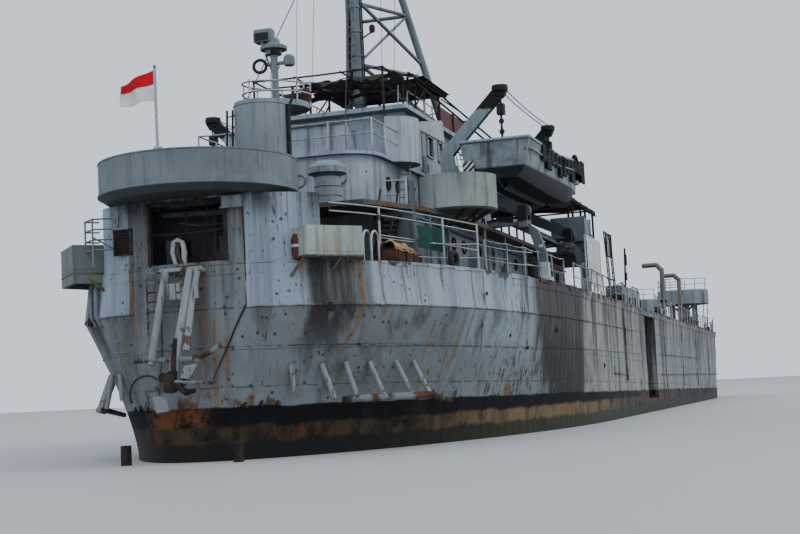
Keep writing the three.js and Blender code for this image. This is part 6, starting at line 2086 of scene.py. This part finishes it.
class SHIP_OT_foredeck(bpy.types.Operator):
    """Fittings of the long deck forward of the boats, the bow ramp and the flag at the stern"""

    bl_idname = "landing_ship.foredeck"
    bl_label = "Foredeck and flag"

    def execute(self, context):
        look = context.scene.deck_look
        chance = random.Random(look.seed + 8)
        finish_nodes("deck", ["hatch_cover"], 0.03)
        finish_nodes("dark", ["anchor_windlass"], 0.02)
        finish_nodes("pipe", [f"vent_pipe_{end}_{side}" for end in ("aft", "forward") for side in SIDES],
                     0.02)
        finish_nodes("scaled", ["bow_ramp"], 0.03)
        finish_nodes("house", [f"deck_box_{side}" for side in SIDES], 0.04)
        finish_nodes("white", ["flagstaff"], 0.0)
        gear, poles, cover = Form(), Form(), Form()
        for s in (35.15, 37.2, 39.3, 41.3):
            gear.box((s, s + 0.14), (-7.4, -6.45), (DECK, DECK + 0.5))
        gear.box((35.0, 41.7), (-7.42, -6.4), (DECK, DECK + 0.1))
        for s, y in ((44.0, -6.9), (47.5, -6.6), (50.2, -6.9), (66.5, -6.8), (73.8, -6.7), (88.5, -4.6)):
            gear.box((s, s + 0.6 + chance.random()), (y - 0.3, y + 0.3),
                     (DECK, DECK + 0.2 + 0.35 * chance.random()))
        for s in (88.4, 90.2, 92.5, 94.0):
            gear.drum(s, -half_breadth(s, DECK) + 0.55, 0.16, DECK, DECK + 0.6, 14)
            gear.box((s - 0.5, s + 0.4), (0.25 - half_breadth(s, DECK), 0.8 - half_breadth(s, DECK)),
                     (DECK, DECK + 0.06))
        for s in (57.0, 59.5, 62.0):
            gear.box((s, s + 0.12), (-4.9, -3.2), (DECK, DECK + 0.3))
        both_sides("foredeck_fittings", gear, "rust", bevel=0.015)
        poles.tube([(39.4, -6.9, 8.6), (39.6, -6.95, 10.9)], 0.05, 8)
        poles.box((39.45, 39.75), (-7.02, -6.9), (10.0, 10.55))
        poles.box((39.4, 39.65), (-7.0, -6.88), (9.2, 9.6))
        poles.tube([(78.6, -6.4, DECK), (79.0, -6.0, 9.3), (79.4, -5.6, DECK)], 0.08, 8)
        poles.box((77.0, 78.1), (-6.6, -5.6), (DECK, 8.75))
        for s in (60.5, 71.0):
            poles.turned([(0.24, DECK + 1.4), (0.24, DECK + 1.55)], s, -6.4, 18)
            poles.turned([(0.25, DECK + 0.06), (0.25, DECK + 0.3)], s, -6.4, 18)
        for end in ((79.3, -7.3), (84.7, -7.1)):
            poles.tube([(82.0 + (end[0] - 82.0) * 0.66, -7.3, 10.9), (*end, DECK + 0.02)], 0.03, 6)
        both_sides("foredeck_poles", poles, "dark")
        for i in range(7):
            s = 56.0 + i * 1.15
            cover.box((s, s + 0.08), (-2.85, 2.85), (8.36, 8.42))
        for y in (-2.0, 0.0, 2.0):
            cover.box((55.9, 63.1), (y - 0.05, y + 0.05), (8.37, 8.41))
        for s, y in ((56.3, -2.7), (56.3, 2.6), (62.6, -2.7), (62.6, 2.6)):
            cover.wheel((s, y, 8.42), (0, 1, 0), 0.1, 0.05, 0.04, 12)
        make("hatch_battens", cover, "rust", body="hatch_cover")
        waves = []
        for r in range(15):
            row = []
            for c in range(25):
                t = c / 24
                high = 0.86 * (1 - 0.3 * t)
                row.append((0.12 + 0.085 * math.sin(t * 9.0 + r * 0.12) * min(1.0, t * 3), 0.045 + 1.03 * t,
                            12.96 - 0.36 * t**1.4 + 0.03 * math.sin(t * 8.0) * t - high * r / 14))
            waves.append(row)
        cloth("flag_cloth", waves, "flag", replaces=("flag",))
        return {"FINISHED"}


class SHIP_PT_panel(bpy.types.Panel):
    """Lists the ship's settings and the steps that build it"""

    bl_idname = "SHIP_PT_panel"
    bl_label = "Landing ship"
    bl_space_type = "VIEW_3D"
    bl_region_type = "UI"
    bl_category = "Landing ship"

    def draw(self, context):
        scene = context.scene
        for look in (scene.hull_look, scene.deck_look, scene.stage_look):
            box = self.layout.box()
            for key in look.bl_rna.properties.keys():
                if key not in {"rna_type", "name"}:
                    box.prop(look, key)
        for step in STEPS:
            self.layout.operator(step.bl_idname)


STEPS = [
    SHIP_OT_stern_shell, SHIP_OT_side_shell, SHIP_OT_bow_shell, SHIP_OT_bottom, SHIP_OT_deck,
    SHIP_OT_stern_house, SHIP_OT_stern_tub, SHIP_OT_signal_tower,
    SHIP_OT_stern_gear, SHIP_OT_guards, SHIP_OT_hull_fittings, SHIP_OT_houses, SHIP_OT_tubs,
    SHIP_OT_rails, SHIP_OT_mast, SHIP_OT_awnings, SHIP_OT_davits, SHIP_OT_boats, SHIP_OT_foredeck,
]
LOOKS = {"hull_look": HullLook, "deck_look": DeckLook, "stage_look": StageLook}


def register():
    for kind in [*LOOKS.values(), *STEPS, SHIP_OT_stage, SHIP_PT_panel]:
        bpy.utils.register_class(kind)
    for name, kind in LOOKS.items():
        setattr(bpy.types.Scene, name, PointerProperty(type=kind))


def unregister():
    for name in LOOKS:
        delattr(bpy.types.Scene, name)
    for kind in [SHIP_PT_panel, SHIP_OT_stage, *STEPS[::-1], *LOOKS.values()]:
        bpy.utils.unregister_class(kind)


def main():
    register()
    make_finishes(bpy.context.scene)
    bpy.ops.landing_ship.stage()
    for step in STEPS:
        getattr(bpy.ops.landing_ship, step.bl_idname.split(".")[1])()


if __name__ == "__main__":
    main()
